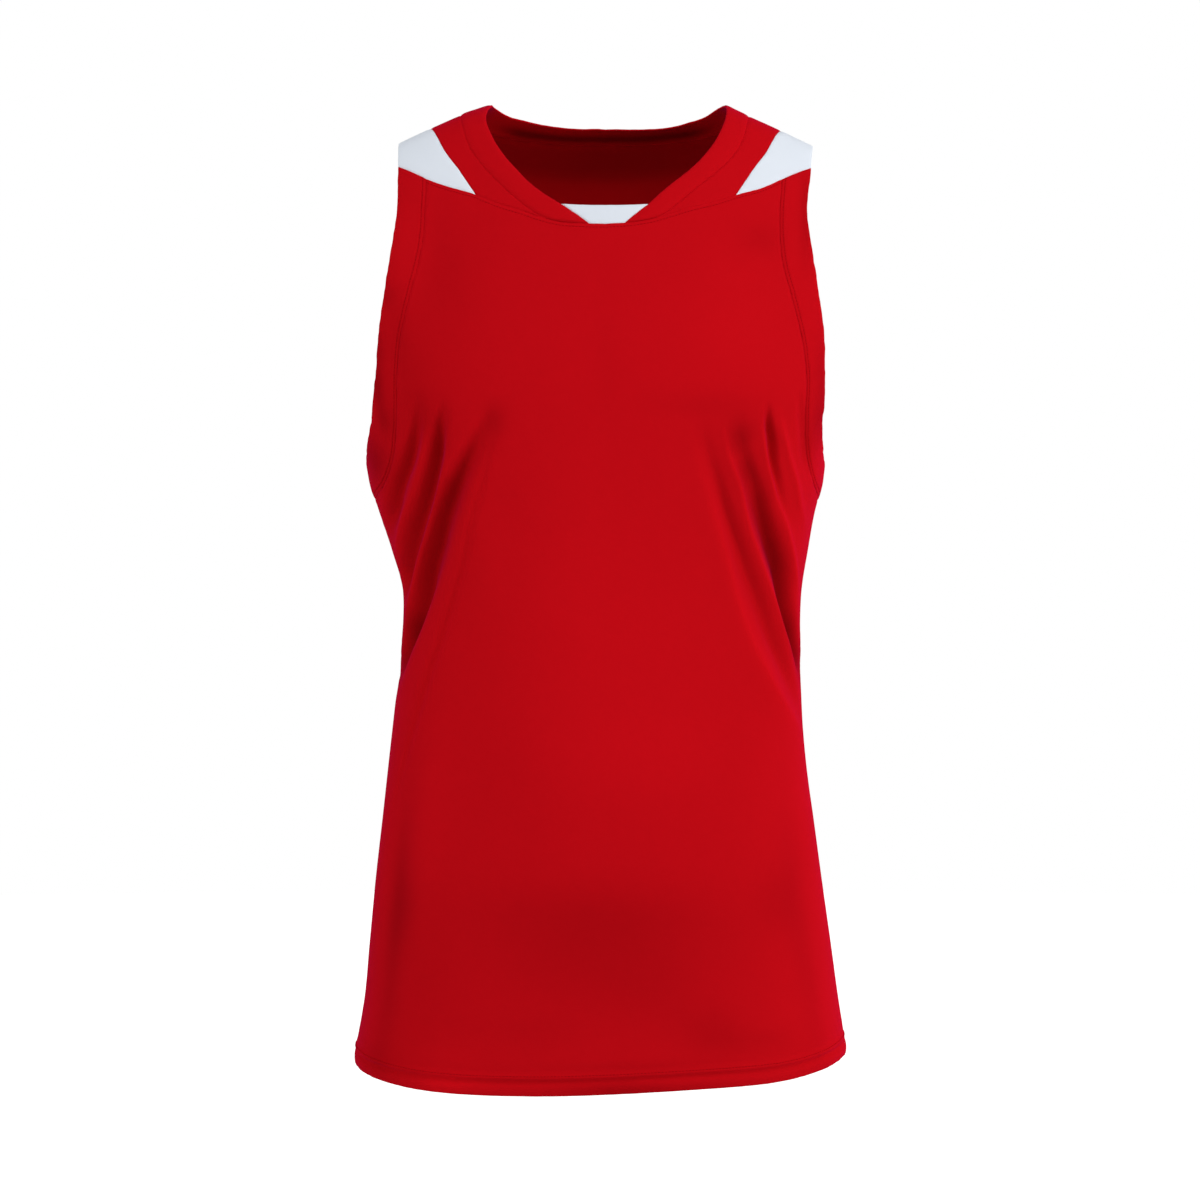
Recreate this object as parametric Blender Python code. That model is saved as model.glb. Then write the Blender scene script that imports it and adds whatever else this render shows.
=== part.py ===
"""Basketball jersey, filled out as worn by a general figure, with no wearer.

Every piece is a thin wall on one shared body surface. The surface is a stack of rounded
sections up to the chest, and above it a cap that rounds over to the shoulder ridge.
Millimetres in the tables, metres in the meshes. +Z is up, the front faces -Y, and the
origin is where the shoulders carry the straps.
"""

from collections import namedtuple

import bmesh
import bpy
import numpy as np

MM = 0.001

# Cloth
CLOTH_WALL = 1.2
DOUBLED_WALL = 2.0
HEM_WALL = 2.4
HEM_DEPTH = 20.0
HEM_STEP = 2.0
SEAM_GAP = 0.3

# Body sections: half widths to the wearer's right (left) and left (right), depths to front and back.
# Above the underarm the half widths run on past the cut edge of the armhole.
Section = namedtuple("Section", "height left right front back")
SECTIONS = [
    Section(-760, 190.5, 187.5, 118, 121),
    Section(-738, 192.6, 191.0, 120, 123),
    Section(-724, 193.3, 193.3, 121, 124),
    Section(-710, 190.6, 191.8, 120, 123),
    Section(-690, 186.4, 187.4, 118, 122),
    Section(-640, 181.3, 180.4, 115, 121),
    Section(-590, 176.2, 173.2, 111, 117),
    Section(-545, 171.0, 167.2, 108, 111),
    Section(-500, 166.3, 161.2, 106, 103),
    Section(-455, 161.6, 158.0, 105, 97),
    Section(-420, 158.4, 157.8, 105, 95),
    Section(-390, 155.4, 156.8, 106, 95),
    Section(-365, 155.8, 158.0, 108, 97),
    Section(-335, 164.0, 162.8, 111, 101),
    Section(-305, 174.0, 168.2, 114, 106),
    Section(-285, 180.2, 173.2, 116, 109),
    Section(-265, 184.0, 176.4, 117, 112),
    Section(-245, 189.0, 182.5, 118, 114),
    Section(-220, 195.0, 191.0, 118, 116),
    Section(-180, 198.0, 196.0, 118, 118),
    Section(-100, 200.0, 201.0, 118, 118),
    Section(20, 203.0, 207.0, 118, 118),
]
ROUNDNESS = 2.3

# Cap over the chest and the back: where it starts, and its exponent, which eases to 2 at the ridge
Cap = namedtuple("Cap", "start exponent")
FRONT_CAP = Cap(-215.0, 1.35)
BACK_CAP = Cap(-170.0, 1.75)
CAP_EASE = 6.0
CAP_STEPS = 721

# Shoulder ridge, a hyperbola about the middle of the shoulders
RIDGE_AXIS = 2.0
RIDGE_TOP = 45.8
RIDGE_SLOPE = 0.5
RIDGE_ROUND = 45.0
SHOULDER_SEAM_TURN = 98.0

# Yoke seam, where the front panel ends: its height on either side of the neck axis
NECK_AXIS = 4.5
YokeRow = namedtuple("YokeRow", "out left right")
YOKE_SEAM = [
    YokeRow(0, -87.4, -87.4),
    YokeRow(20, -86.9, -86.0),
    YokeRow(36, -85.3, -83.0),
    YokeRow(50, -81.7, -78.7),
    YokeRow(64, -76.4, -73.8),
    YokeRow(82, -70.4, -69.0),
    YokeRow(102, -61.6, -61.9),
    YokeRow(120, -55.7, -56.2),
    YokeRow(136, -49.5, -48.5),
    YokeRow(150, -42.4, -41.9),
    YokeRow(162, -36.6, -36.6),
    YokeRow(185, -25.5, -25.5),
]

# Hem edge round the body, and where the panels meet the armhole bands under the arms
Hem = namedtuple("Hem", "turn height")
HEM = [
    Hem(-180, -742.0),
    Hem(-135, -741.0),
    Hem(-90, -734.5),
    Hem(-66, -740.6),
    Hem(-42, -745.4),
    Hem(-15, -746.0),
    Hem(23, -741.4),
    Hem(46, -738.8),
    Hem(62, -734.4),
    Hem(90, -726.0),
    Hem(135, -736.0),
    Hem(180, -742.0),
]
UNDERARM_SEAM = -295.0
UNDERARM_EDGE = -269.0
UNDERARM_SAG = 40.0
TOP_ROW_CLEARANCE = 8.0

# Armhole edge and the band's seam seen from the front, from the shoulder down to the side
Armhole = namedtuple("Armhole", "height left right")
ARMHOLE_EDGE = [
    Armhole(-17, 157.8, 167.0),
    Armhole(-36, 157.0, 164.6),
    Armhole(-75, 157.2, 160.2),
    Armhole(-110, 162.0, 164.5),
    Armhole(-143, 166.7, 169.0),
    Armhole(-174, 170.5, 172.6),
    Armhole(-205, 172.6, 172.8),
    Armhole(-235, 176.0, 171.4),
    Armhole(-251, 179.8, 172.0),
    Armhole(-262, 182.0, 173.8),
]
BAND_SEAM = [
    Armhole(-4, 134.0, 143.0),
    Armhole(-47, 134.3, 141.0),
    Armhole(-74, 135.0, 138.7),
    Armhole(-96, 136.0, 138.4),
    Armhole(-118, 139.8, 140.6),
    Armhole(-135, 144.2, 145.0),
    Armhole(-157, 149.4, 150.6),
    Armhole(-179, 153.5, 155.4),
    Armhole(-200, 155.0, 157.8),
    Armhole(-224, 155.2, 157.5),
    Armhole(-248, 156.2, 157.8),
    Armhole(-268, 159.3, 160.6),
    Armhole(-283, 165.6, 165.0),
    Armhole(-292, 173.0, 169.6),
]

# Collar from the V to the centre back, measured out from the neck axis. Each lean moves its edge
# towards +X. The first row lies on the yoke seam, and the ridge row on the shoulder ridge.
CollarRow = namedtuple(
    "CollarRow", "side inner_lean inner_out inner_height outer_lean outer_out outer_height"
)
COLLAR = [
    CollarRow("front", 0.8, 13.7, None, -3.4, 41.0, None),
    CollarRow("front", -0.2, 23.3, -79.1, -4.2, 50.0, -77.9),
    CollarRow("front", -1.0, 33.6, -71.4, -4.4, 58.0, -71.6),
    CollarRow("front", -3.2, 45.5, -62.0, -4.6, 66.0, -64.6),
    CollarRow("front", -3.5, 55.2, -53.8, -4.2, 75.0, -56.4),
    CollarRow("front", -2.0, 66.5, -43.1, -2.8, 85.4, -46.6),
    CollarRow("front", -1.3, 77.0, -31.4, -1.5, 97.0, -34.0),
    CollarRow("front", -0.7, 87.0, -16.0, -0.9, 106.4, -17.9),
    CollarRow("front", -0.4, 93.2, -0.9, -0.8, 110.9, -2.3),
    CollarRow("ridge", 3.0, 94.2, None, -0.7, 112.2, None),
    CollarRow("back", 1.5, 88.5, 15.0, 0.0, 109.0, 4.6),
    CollarRow("back", 0.0, 78.0, 10.8, 0.0, 98.0, 0.0),
    CollarRow("back", 0.0, 62.0, 8.4, 0.0, 78.0, -3.4),
    CollarRow("back", 0.0, 42.0, 6.6, 0.0, 53.0, -5.6),
    CollarRow("back", 0.0, 21.0, 5.7, 0.0, 26.5, -6.7),
    CollarRow("back", 0.0, 0.0, 5.4, 0.0, 0.0, -7.0),
]
# How far the collar's inner edge stands off the ridge, and how far over the shoulder that spreads
CollarLift = namedtuple("CollarLift", "left right spread")
COLLAR_LIFT = CollarLift(-2.4, 1.8, 15.0)

# Inner edge of the white shoulder insert, from its tip on the yoke seam to the ridge
InsertEdge = namedtuple("InsertEdge", "side out height")
INSERT_EDGE = [
    InsertEdge("front", 100.2, None),
    InsertEdge("front", 113.0, -42.5),
    InsertEdge("front", 126.4, -23.2),
    InsertEdge("ridge", 138.0, None),
]
NECK_INSERT_TOP = -71.6
NECK_INSERT_DIP = 1.2
NECK_INSERT_LAST_ROW = 2.0

# Folds on the body surface. Angles are degrees round from the centre front, heights in mm.
# A positive depth stands out, a negative one sinks in.
Fold = namedtuple(
    "Fold", "head_turn head_height middle_turn middle_height tail_turn tail_height width depth"
)
FOLDS = [
    Fold(-45, -214, -54, -272, -88, -322, 10, -4.0),
    Fold(-37, -222, -48, -292, -82, -370, 10, -6.0),
    Fold(-24, -222, -44, -322, -85, -434, 12, -8.5),
    Fold(-25, -240, -46, -376, -76, -560, 8, -2.0),
    Fold(44, -220, 53, -276, 80, -336, 9, -4.5),
    Fold(34, -214, 50, -316, 85, -424, 12, -8.5),
    Fold(24, -234, 43, -348, 85, -470, 11, -5.0),
    Fold(20, -250, 38, -384, 78, -490, 14, 3.0),
    Fold(-138, -190, -122, -284, -95, -352, 11, -5.0),
    Fold(-150, -205, -130, -325, -96, -432, 13, -7.0),
    Fold(-158, -250, -138, -370, -100, -500, 12, -4.0),
    Fold(140, -185, 124, -276, 96, -340, 11, -5.5),
    Fold(152, -212, 132, -322, 95, -426, 13, -6.5),
    Fold(160, -262, 138, -384, 100, -515, 12, -3.5),
    Fold(-172, -345, -180, -392, -196, -420, 20, -3.0),
    Fold(164, -392, 176, -432, 190, -462, 20, -2.5),
]
FOLD_RADIUS = 155.0
FOLD_SWELL = 0.8
FOLD_STEPS = 20

# Mesh counts
FRONT_COLUMNS = 44
ROWS_BELOW_BEND = 9
ROWS_ABOVE_BEND = 12
BEND_HEIGHT = -470.0
FRONT_STATIONS = 14
BACK_STATIONS = 16
SIDE_CROWDING = 1.25
SAG_POWER = 5
COLLAR_FRONT_STEPS = 15
COLLAR_BACK_STEPS = 10
SHOULDER_COLUMNS = 3
YOKE_COLUMNS = 8
INSERT_COLUMNS = 7
NECK_INSERT_COLUMNS = 8

# Fineness of the working: points worked out for each one kept, rounds to find a corner, steps
# in radians, degrees and mm for a normal, and the sharpest corner that a seam gap follows
CURVE_DETAIL = 40
CORNER_ROUNDS = 20
TURN_STEP = 0.001
OVER_STEP = 0.2
LENGTH_STEP = 0.2
SHARPEST_CORNER = 0.15

# Finish: colours in linear values
RED = (0.42, 0.005, 0.009, 1.0)
WHITE = (0.72, 0.76, 0.80, 1.0)
CLOTH_ROUGHNESS = 0.6
CREASE_ANGLE = 50


def smooth_curve(knots, values, at):
    """Values at given places on a smooth curve through the knots."""
    knots = np.asarray(knots, float)
    values = np.asarray(values, float)
    slopes = np.gradient(values, knots)
    at = np.clip(at, knots[0], knots[-1])
    left = np.clip(np.searchsorted(knots, at, side="right") - 1, 0, len(knots) - 2)
    span = knots[left + 1] - knots[left]
    t = (at - knots[left]) / span
    return (
        (2 * t**3 - 3 * t**2 + 1) * values[left]
        + (t**3 - 2 * t**2 + t) * span * slopes[left]
        + (3 * t**2 - 2 * t**3) * values[left + 1]
        + (t**3 - t**2) * span * slopes[left + 1]
    )


def section_value(column, height):
    """One named column of the section table at a height."""
    heights = [row.height for row in SECTIONS]
    index = Section._fields.index(column)
    return smooth_curve(heights, [row[index] for row in SECTIONS], height)


def half_width(turn, height):
    """Half width of the section on the side that a turn in radians lies on."""
    left = section_value("left", height)
    right = section_value("right", height)
    return np.where(np.sin(turn) < 0, left, right)


def ridge_height(x):
    out = np.abs(x - RIDGE_AXIS)
    return RIDGE_TOP - RIDGE_SLOPE * (np.hypot(out, RIDGE_ROUND) - RIDGE_ROUND)


def yoke_height(x):
    outs = [row.out for row in YOKE_SEAM]
    out = np.abs(x - NECK_AXIS)
    left = smooth_curve(outs, [row.left for row in YOKE_SEAM], out)
    right = smooth_curve(outs, [row.right for row in YOKE_SEAM], out)
    return np.where(x < NECK_AXIS, left, right)


def cap_profile(cap):
    """Rise and depth of a cap, from its start to the ridge, against the angle over it."""
    angle = np.linspace(0, np.pi / 2, CAP_STEPS)
    power = 1 + (2 / cap.exponent - 1) * (1 - np.sin(angle) ** CAP_EASE)
    return angle, np.sin(angle) ** power, np.cos(angle) ** power


def depth_at(x, height, width, is_front):
    """Signed depth of the uncapped section."""
    share = np.clip(np.abs(x) / width, 0, 1)
    rounding = (1 - share**ROUNDNESS) ** (1 / ROUNDNESS)
    front = -section_value("front", height) * rounding
    back = section_value("back", height) * rounding
    return np.where(is_front, front, back)


def body_surface(turn, height):
    """Point of the body surface at a turn from the centre front, in radians, and a height."""
    width = half_width(turn, height)
    x = width * np.sin(turn)
    is_front = np.cos(turn) >= 0
    depth = depth_at(x, height, width, is_front)
    for cap, here in ((FRONT_CAP, is_front), (BACK_CAP, ~is_front)):
        _, rise, reach = cap_profile(cap)
        share = np.clip((height - cap.start) / (ridge_height(x) - cap.start), 0, 1)
        depth = np.where(here, depth * np.interp(share, rise, reach), depth)
    return np.stack([x, depth, height + 0 * x], axis=-1)


def shoulder_surface(x, over):
    """Point at a place across and an angle over the shoulder: 90 degrees is the ridge."""
    is_front = over <= 90
    ridge = ridge_height(x)
    height = np.zeros_like(x + over)
    reach = np.zeros_like(x + over)
    for cap, here in ((FRONT_CAP, is_front), (BACK_CAP, ~is_front)):
        angle, rise, depth = cap_profile(cap)
        own = np.radians(np.where(here, np.where(over <= 90, over, 180 - over), 90))
        height = np.where(here, cap.start + (ridge - cap.start) * np.interp(own, angle, rise), height)
        reach = np.where(here, np.interp(own, angle, depth), reach)
    width = half_width(np.sign(x), height)
    y = depth_at(x, height, width, is_front) * reach
    return np.stack([x, y, height], axis=-1)


def angle_over(x, height, side):
    """Angle over the shoulder of a point given by its place across and its height."""
    if side == "ridge":
        return 90.0
    cap = FRONT_CAP if side == "front" else BACK_CAP
    angle, rise, _ = cap_profile(cap)
    share = (height - cap.start) / (ridge_height(x) - cap.start)
    own = np.degrees(np.interp(share, rise, angle))
    return own if side == "front" else 180 - own


def turn_of(x, height):
    """Turn from the centre front, in radians, of a front point."""
    width = half_width(np.sign(x), height)
    return np.arcsin(np.clip(x / width, -1, 1))


def lengths_along(points):
    """Length from the first point to each point."""
    return np.concatenate([[0], np.cumsum(np.linalg.norm(np.diff(points, axis=0), axis=1))])


def resample(path, count, surface):
    """Points on a smooth curve through the path's rows, evenly spaced on the surface."""
    path = np.asarray(path, float)
    steps = lengths_along(surface(path[:, 0], path[:, 1]))
    fine = np.linspace(0, steps[-1], CURVE_DETAIL * count)
    dense = np.stack([smooth_curve(steps, column, fine) for column in path.T], axis=1)
    length = lengths_along(surface(dense[:, 0], dense[:, 1]))
    even = np.linspace(0, length[-1], count)
    return np.stack([np.interp(even, length, column) for column in dense.T], axis=1)


def arc_through(t, first, middle, last):
    """Parabola through three values, at places from 0 to 1."""
    bend = 2 * middle - (first + last) / 2
    return (1 - t) ** 2 * first + 2 * t * (1 - t) * bend + t**2 * last


def fold_depth(turn, height):
    """Sum of the folds at a turn in radians and a height."""
    total = np.zeros_like(turn + height)
    for fold in FOLDS:
        t = np.linspace(0, 1, FOLD_STEPS)
        turns = arc_through(t, fold.head_turn, fold.middle_turn, fold.tail_turn)
        heights = arc_through(t, fold.head_height, fold.middle_height, fold.tail_height)
        across = np.radians(turns) * FOLD_RADIUS
        best = np.full_like(total, 1e9)
        along = np.zeros_like(total)
        for a0, h0, a1, h1, start in zip(across, heights, across[1:], heights[1:], t):
            da = a1 - a0
            dh = h1 - h0
            pa = turn * FOLD_RADIUS - a0
            ph = height - h0
            place = np.clip((pa * da + ph * dh) / (da * da + dh * dh), 0, 1)
            distance = np.hypot(pa - place * da, ph - place * dh)
            nearer = distance < best
            best = np.where(nearer, distance, best)
            along = np.where(nearer, start + place * t[1], along)
        swell = np.sin(np.pi * np.clip(along, 0, 1)) ** FOLD_SWELL
        total += fold.depth * swell * np.exp(-((best / fold.width) ** 2))
    return total


def normals_of(surface, first, second, step_first, step_second):
    """Unit normals of a surface of two values, by differences."""
    along = surface(first + step_first, second) - surface(first - step_first, second)
    up = surface(first, second + step_second) - surface(first, second - step_second)
    normal = np.cross(along, up)
    return normal / np.linalg.norm(normal, axis=-1, keepdims=True)


def body_wall(turn, height):
    """Outer points and outward normals of the body at a grid of turns and heights."""
    normal = normals_of(body_surface, turn, height, TURN_STEP, LENGTH_STEP)
    outward = body_surface(turn, height)[..., :2]
    facing = np.sign(np.sum(normal[..., :2] * outward, axis=-1, keepdims=True))
    normal = normal * facing
    points = body_surface(turn, height) + normal * fold_depth(turn, height)[..., None]
    return points, normal


def shoulder_wall(x, over):
    """Outer points and outward normals over the shoulders."""
    normal = normals_of(shoulder_surface, x, over, LENGTH_STEP, OVER_STEP)
    normal = normal * np.where(normal[..., 2:] < 0, -1, 1)
    points = shoulder_surface(x, over)
    return points, normal


def boundary_of(rows, columns):
    """Grid indices once round the edge."""
    ring = [(0, c) for c in range(columns - 1)]
    ring += [(r, columns - 1) for r in range(rows - 1)]
    ring += [(rows - 1, c) for c in range(columns - 1, 0, -1)]
    ring += [(r, 0) for r in range(rows - 1, 0, -1)]
    return ring


def pull_in_edges(points, normals, distance):
    """Moves the edge of a grid inwards along the surface, for the gap at the seams."""
    ring = boundary_of(*points.shape[:2])
    rim = np.array([points[r, c] for r, c in ring])
    up = np.array([normals[r, c] for r, c in ring])
    ahead = np.roll(rim, -1, axis=0) - rim
    ahead /= np.linalg.norm(ahead, axis=1, keepdims=True)
    side = np.cross(up, ahead)
    if np.dot(side[0], points[1, 1] - points[0, 0]) < 0:
        side = -side
    before = np.roll(side, 1, axis=0)
    middle = side + before
    middle /= np.linalg.norm(middle, axis=1, keepdims=True)
    reach = distance / np.clip(np.sum(middle * side, axis=1), SHARPEST_CORNER, 1)
    moved = points.copy()
    for (r, c), shift, length in zip(ring, middle, reach):
        moved[r, c] = moved[r, c] + shift * length
    return moved


def cloth_material(name, colour):
    material = bpy.data.materials.new(name)
    material.use_nodes = True
    shader = material.node_tree.nodes["Principled BSDF"]
    shader.inputs["Base Color"].default_value = colour
    shader.inputs["Roughness"].default_value = CLOTH_ROUGHNESS
    shader.inputs["Metallic"].default_value = 0.0
    material.diffuse_color = colour
    return material


def sew_piece(name, points, normals, wall, colour):
    """A closed wall from a grid of outer points, in its own object."""
    outer = pull_in_edges(points, normals, SEAM_GAP / 2)
    wall = np.broadcast_to(np.asarray(wall, float), outer.shape[:2])[..., None]
    spare = (wall - CLOTH_WALL) / 2
    outer = outer + normals * spare
    inner = outer - normals * wall
    rows, columns = outer.shape[:2]
    shape = bmesh.new()
    skins = [
        [[shape.verts.new(skin[r, c] * MM) for c in range(columns)] for r in range(rows)]
        for skin in (outer, inner)
    ]
    for r in range(rows - 1):
        for c in range(columns - 1):
            for skin in skins:
                corners = [skin[r][c], skin[r][c + 1], skin[r + 1][c + 1], skin[r + 1][c]]
                first = 0 if c < columns // 2 else 1
                shape.faces.new(corners[first:] + corners[:first])
    ring = boundary_of(rows, columns)
    for (r0, c0), (r1, c1) in zip(ring, ring[1:] + ring[:1]):
        top, bottom = skins
        shape.faces.new((top[r0][c0], top[r1][c1], bottom[r1][c1], bottom[r0][c0]))
    bmesh.ops.recalc_face_normals(shape, faces=shape.faces)
    mesh = bpy.data.meshes.new(name)
    shape.to_mesh(mesh)
    shape.free()
    mesh.shade_smooth()
    mesh.set_sharp_from_angle(angle=np.radians(CREASE_ANGLE))
    mesh.materials.append(cloth_material(name, colour))
    piece = bpy.data.objects.new(name, mesh)
    bpy.context.scene.collection.objects.link(piece)
    return piece


def armhole_line(rows, hand, last_height, top, count, is_front):
    """Stations of an armhole line as turn and height, from the shoulder to the side."""
    sign = -1 if hand == "left" else 1
    path = [top]
    for row in rows:
        x = sign * (row.left if hand == "left" else row.right)
        if row.height < top[1] - TOP_ROW_CLEARANCE:
            path.append((turn_of(x, row.height), row.height))
    path.append((sign * np.pi / 2, last_height))
    path = np.array(path)
    if not is_front:
        path[:, 0] = sign * np.pi - path[:, 0]
    return resample(path, count, body_surface)


def line_top(rows, hand, is_front):
    """Where an armhole line starts: on the yoke seam in front, on the shoulder seam behind."""
    sign = -1 if hand == "left" else 1
    heights = [row.height for row in rows][::-1]
    places = [sign * (row.left if hand == "left" else row.right) for row in rows][::-1]
    height = 0.0
    for _ in range(CORNER_ROUNDS):
        x = smooth_curve(heights, places, height)
        if is_front:
            height = float(yoke_height(x))
        else:
            height = float(shoulder_surface(x, np.array(SHOULDER_SEAM_TURN))[2])
    x = float(smooth_curve(heights, places, height))
    return float(turn_of(x, height)), height


def band_lines(hand, is_front):
    """Seam and edge of an armhole band, station by station."""
    count = FRONT_STATIONS if is_front else BACK_STATIONS
    seam_top = line_top(BAND_SEAM, hand, is_front)
    edge_top = line_top(ARMHOLE_EDGE, hand, is_front)
    seam = armhole_line(BAND_SEAM, hand, UNDERARM_SEAM, seam_top, count, is_front)
    edge = armhole_line(ARMHOLE_EDGE, hand, UNDERARM_EDGE, edge_top, count, is_front)
    return seam, edge


def side_rows():
    """Shares of the height from the hem up to the underarm, denser where the folds are."""
    height = UNDERARM_SEAM - min(row.height for row in HEM)
    hem = [0.0, HEM_DEPTH - HEM_STEP, HEM_DEPTH]
    bend = height + BEND_HEIGHT - UNDERARM_SEAM
    low = np.linspace(HEM_DEPTH, bend, ROWS_BELOW_BEND)[1:]
    high = np.linspace(bend, height, ROWS_ABOVE_BEND)[1:]
    return np.concatenate([hem, low, high]) / height


def hem_height(turn):
    degrees = np.degrees(np.where(turn > np.pi, turn - 2 * np.pi, turn))
    return smooth_curve([row.turn for row in HEM], [row.height for row in HEM], degrees)


def spread(count):
    """Shares from 0 to 1, closer together at both ends."""
    even = np.linspace(-1, 1, count)
    return (1 + np.sign(even) * (1 - (1 - np.abs(even)) ** SIDE_CROWDING)) / 2


def panel_grid(first_seam, last_seam, top_edge, low_share, top_share):
    """Turns and heights of a body panel, from the hem to its top edge.

    The rows sag between the sides near the underarm, so that they leave the curved seam squarely.
    """
    u = np.linspace(-1, 1, len(low_share))
    side_weight = np.abs(u) ** SAG_POWER
    turn_first, turn_last = first_seam[-1, 0], last_seam[-1, 0]
    centre = (turn_first + turn_last) / 2
    low_turn = turn_first + (turn_last - turn_first) * low_share
    rows_turn = []
    rows_height = []
    for part in side_rows():
        base = hem_height(low_turn)
        side_base = np.where(u < 0, base[0], base[-1])
        side = side_base + (UNDERARM_SEAM - side_base) * part
        middle = base + (UNDERARM_SEAM - UNDERARM_SAG - base) * part
        rows_turn.append(low_turn)
        rows_height.append(middle + (side - middle) * side_weight)
    last = len(first_seam) - 1
    top_turn = first_seam[0, 0] + (last_seam[0, 0] - first_seam[0, 0]) * top_share
    top_middle = top_edge(centre)
    top_plain = top_middle + (np.where(u < 0, first_seam[0, 1], last_seam[0, 1]) - top_middle) * side_weight
    top_change = top_edge(top_turn) - top_plain
    for i in range(last - 1, -1, -1):
        v = 1 - i / last
        share = low_share + (top_share - low_share) * v
        middle = UNDERARM_SEAM - UNDERARM_SAG
        middle = middle + (top_middle - middle) * v
        side = np.where(u < 0, first_seam[i, 1], last_seam[i, 1])
        rows_turn.append(first_seam[i, 0] + (last_seam[i, 0] - first_seam[i, 0]) * share)
        rows_height.append(middle + (side - middle) * side_weight + v**3 * top_change)
    return np.array(rows_turn), np.array(rows_height)


def yoke_edge(turn):
    """Height of the yoke seam at a turn."""
    height = np.full_like(np.asarray(turn, float), YOKE_SEAM[0].left)
    for _ in range(CORNER_ROUNDS):
        x = half_width(turn, height) * np.sin(turn)
        height = yoke_height(x)
    return height


def shoulder_seam_height(turn):
    """Height of the shoulder seam at a turn."""
    height = np.zeros_like(turn)
    for _ in range(CORNER_ROUNDS):
        x = half_width(turn, height) * np.sin(turn)
        height = shoulder_surface(x, np.full_like(x, SHOULDER_SEAM_TURN))[..., 2]
    return height


def collar_half(which, sign):
    """One half of a collar line, from the V to the shoulder seam, then to the centre back."""
    path = []
    for row in COLLAR:
        if which == "inner":
            x = NECK_AXIS + row.inner_lean + sign * row.inner_out
            height = row.inner_height
        else:
            x = NECK_AXIS + row.outer_lean + sign * row.outer_out
            height = row.outer_height
        height = yoke_height(x) if row is COLLAR[0] else height
        path.append((x, angle_over(x, height, row.side)))
    fine = resample(path, CURVE_DETAIL * COLLAR_BACK_STEPS, shoulder_surface)
    split = np.argmax(fine[:, 1] > SHOULDER_SEAM_TURN)
    share = (SHOULDER_SEAM_TURN - fine[split - 1, 1]) / (fine[split, 1] - fine[split - 1, 1])
    middle = fine[split - 1] + share * (fine[split] - fine[split - 1])
    front = resample(np.concatenate([fine[:split], [middle]]), COLLAR_FRONT_STEPS + 1, shoulder_surface)
    back = resample(np.concatenate([[middle], fine[split:]]), COLLAR_BACK_STEPS + 1, shoulder_surface)
    return np.concatenate([front, back[1:]])


def collar_lines():
    """Inner edge and outer seam of the collar as place across and angle over, left to right."""
    lines = []
    for which in ("inner", "outer"):
        lines.append(np.concatenate([collar_half(which, -1), collar_half(which, 1)[::-1][1:]]))
    return lines


def turn_and_height(x, over):
    """Turn round the body and height of points over the shoulder."""
    points = shoulder_surface(x, over)
    turn = turn_of(points[..., 0], points[..., 2])
    behind = points[..., 1] > 0
    turn = np.where(behind, np.sign(turn) * np.pi - turn, turn)
    return turn, points[..., 2]


def back_top_line():
    """Top edge of the back panel from right to left: shoulder seam, collar seam, shoulder seam."""
    halves = []
    for hand, sign in (("right", 1), ("left", -1)):
        half = collar_half("outer", sign)[COLLAR_FRONT_STEPS:]
        turn, height = line_top(BAND_SEAM, hand, False)
        corner = half_width(turn, height) * np.sin(turn)
        shoulder = seam_run(corner, half[0, 0], SHOULDER_COLUMNS + 1)
        halves.append(np.concatenate([shoulder[:-1], half]))
    line = np.concatenate([halves[0], halves[1][::-1][1:]])
    turn, height = turn_and_height(line[:, 0], line[:, 1])
    return np.where(turn < 0, turn + 2 * np.pi, turn), height


def make_front_panel():
    left_seam, _ = band_lines("left", True)
    right_seam, _ = band_lines("right", True)
    share = spread(FRONT_COLUMNS)
    turn, height = panel_grid(left_seam, right_seam, yoke_edge, share, share)
    points, normals = body_wall(turn, height)
    wall = np.full(turn.shape, CLOTH_WALL)
    wall[:2] = HEM_WALL
    return sew_piece("front_panel", points, normals, wall, RED)


def make_back_panel():
    left_seam, _ = band_lines("left", False)
    right_seam, _ = band_lines("right", False)
    left_seam = left_seam + [2 * np.pi, 0]
    top_turn, top_height = back_top_line()
    top_share = (top_turn - top_turn[0]) / (top_turn[-1] - top_turn[0])

    def top_edge(turn):
        return np.interp(turn, top_turn, top_height)

    turn, height = panel_grid(right_seam, left_seam, top_edge, spread(len(top_share)), top_share)
    wrapped = np.where(turn > np.pi, turn - 2 * np.pi, turn)
    points, normals = body_wall(wrapped, height)
    wall = np.full(turn.shape, CLOTH_WALL)
    wall[:2] = HEM_WALL
    return sew_piece("back_panel", points, normals, wall, RED)


def make_armhole_band(hand):
    front_seam, front_edge = band_lines(hand, True)
    back_seam, back_edge = band_lines(hand, False)
    seam = np.concatenate([front_seam, back_seam[::-1][1:]])
    edge = np.concatenate([front_edge, back_edge[::-1][1:]])
    shares = np.linspace(0, 1, 4)[:, None, None]
    grid = seam[None] + (edge - seam)[None] * shares
    grid[:, 0, 1] = yoke_edge(grid[:, 0, 0])
    grid[:, -1, 1] = shoulder_seam_height(grid[:, -1, 0])
    points, normals = body_wall(grid[..., 0], grid[..., 1])
    return sew_piece("armhole_band_" + hand, points, normals, DOUBLED_WALL, RED)


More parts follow.
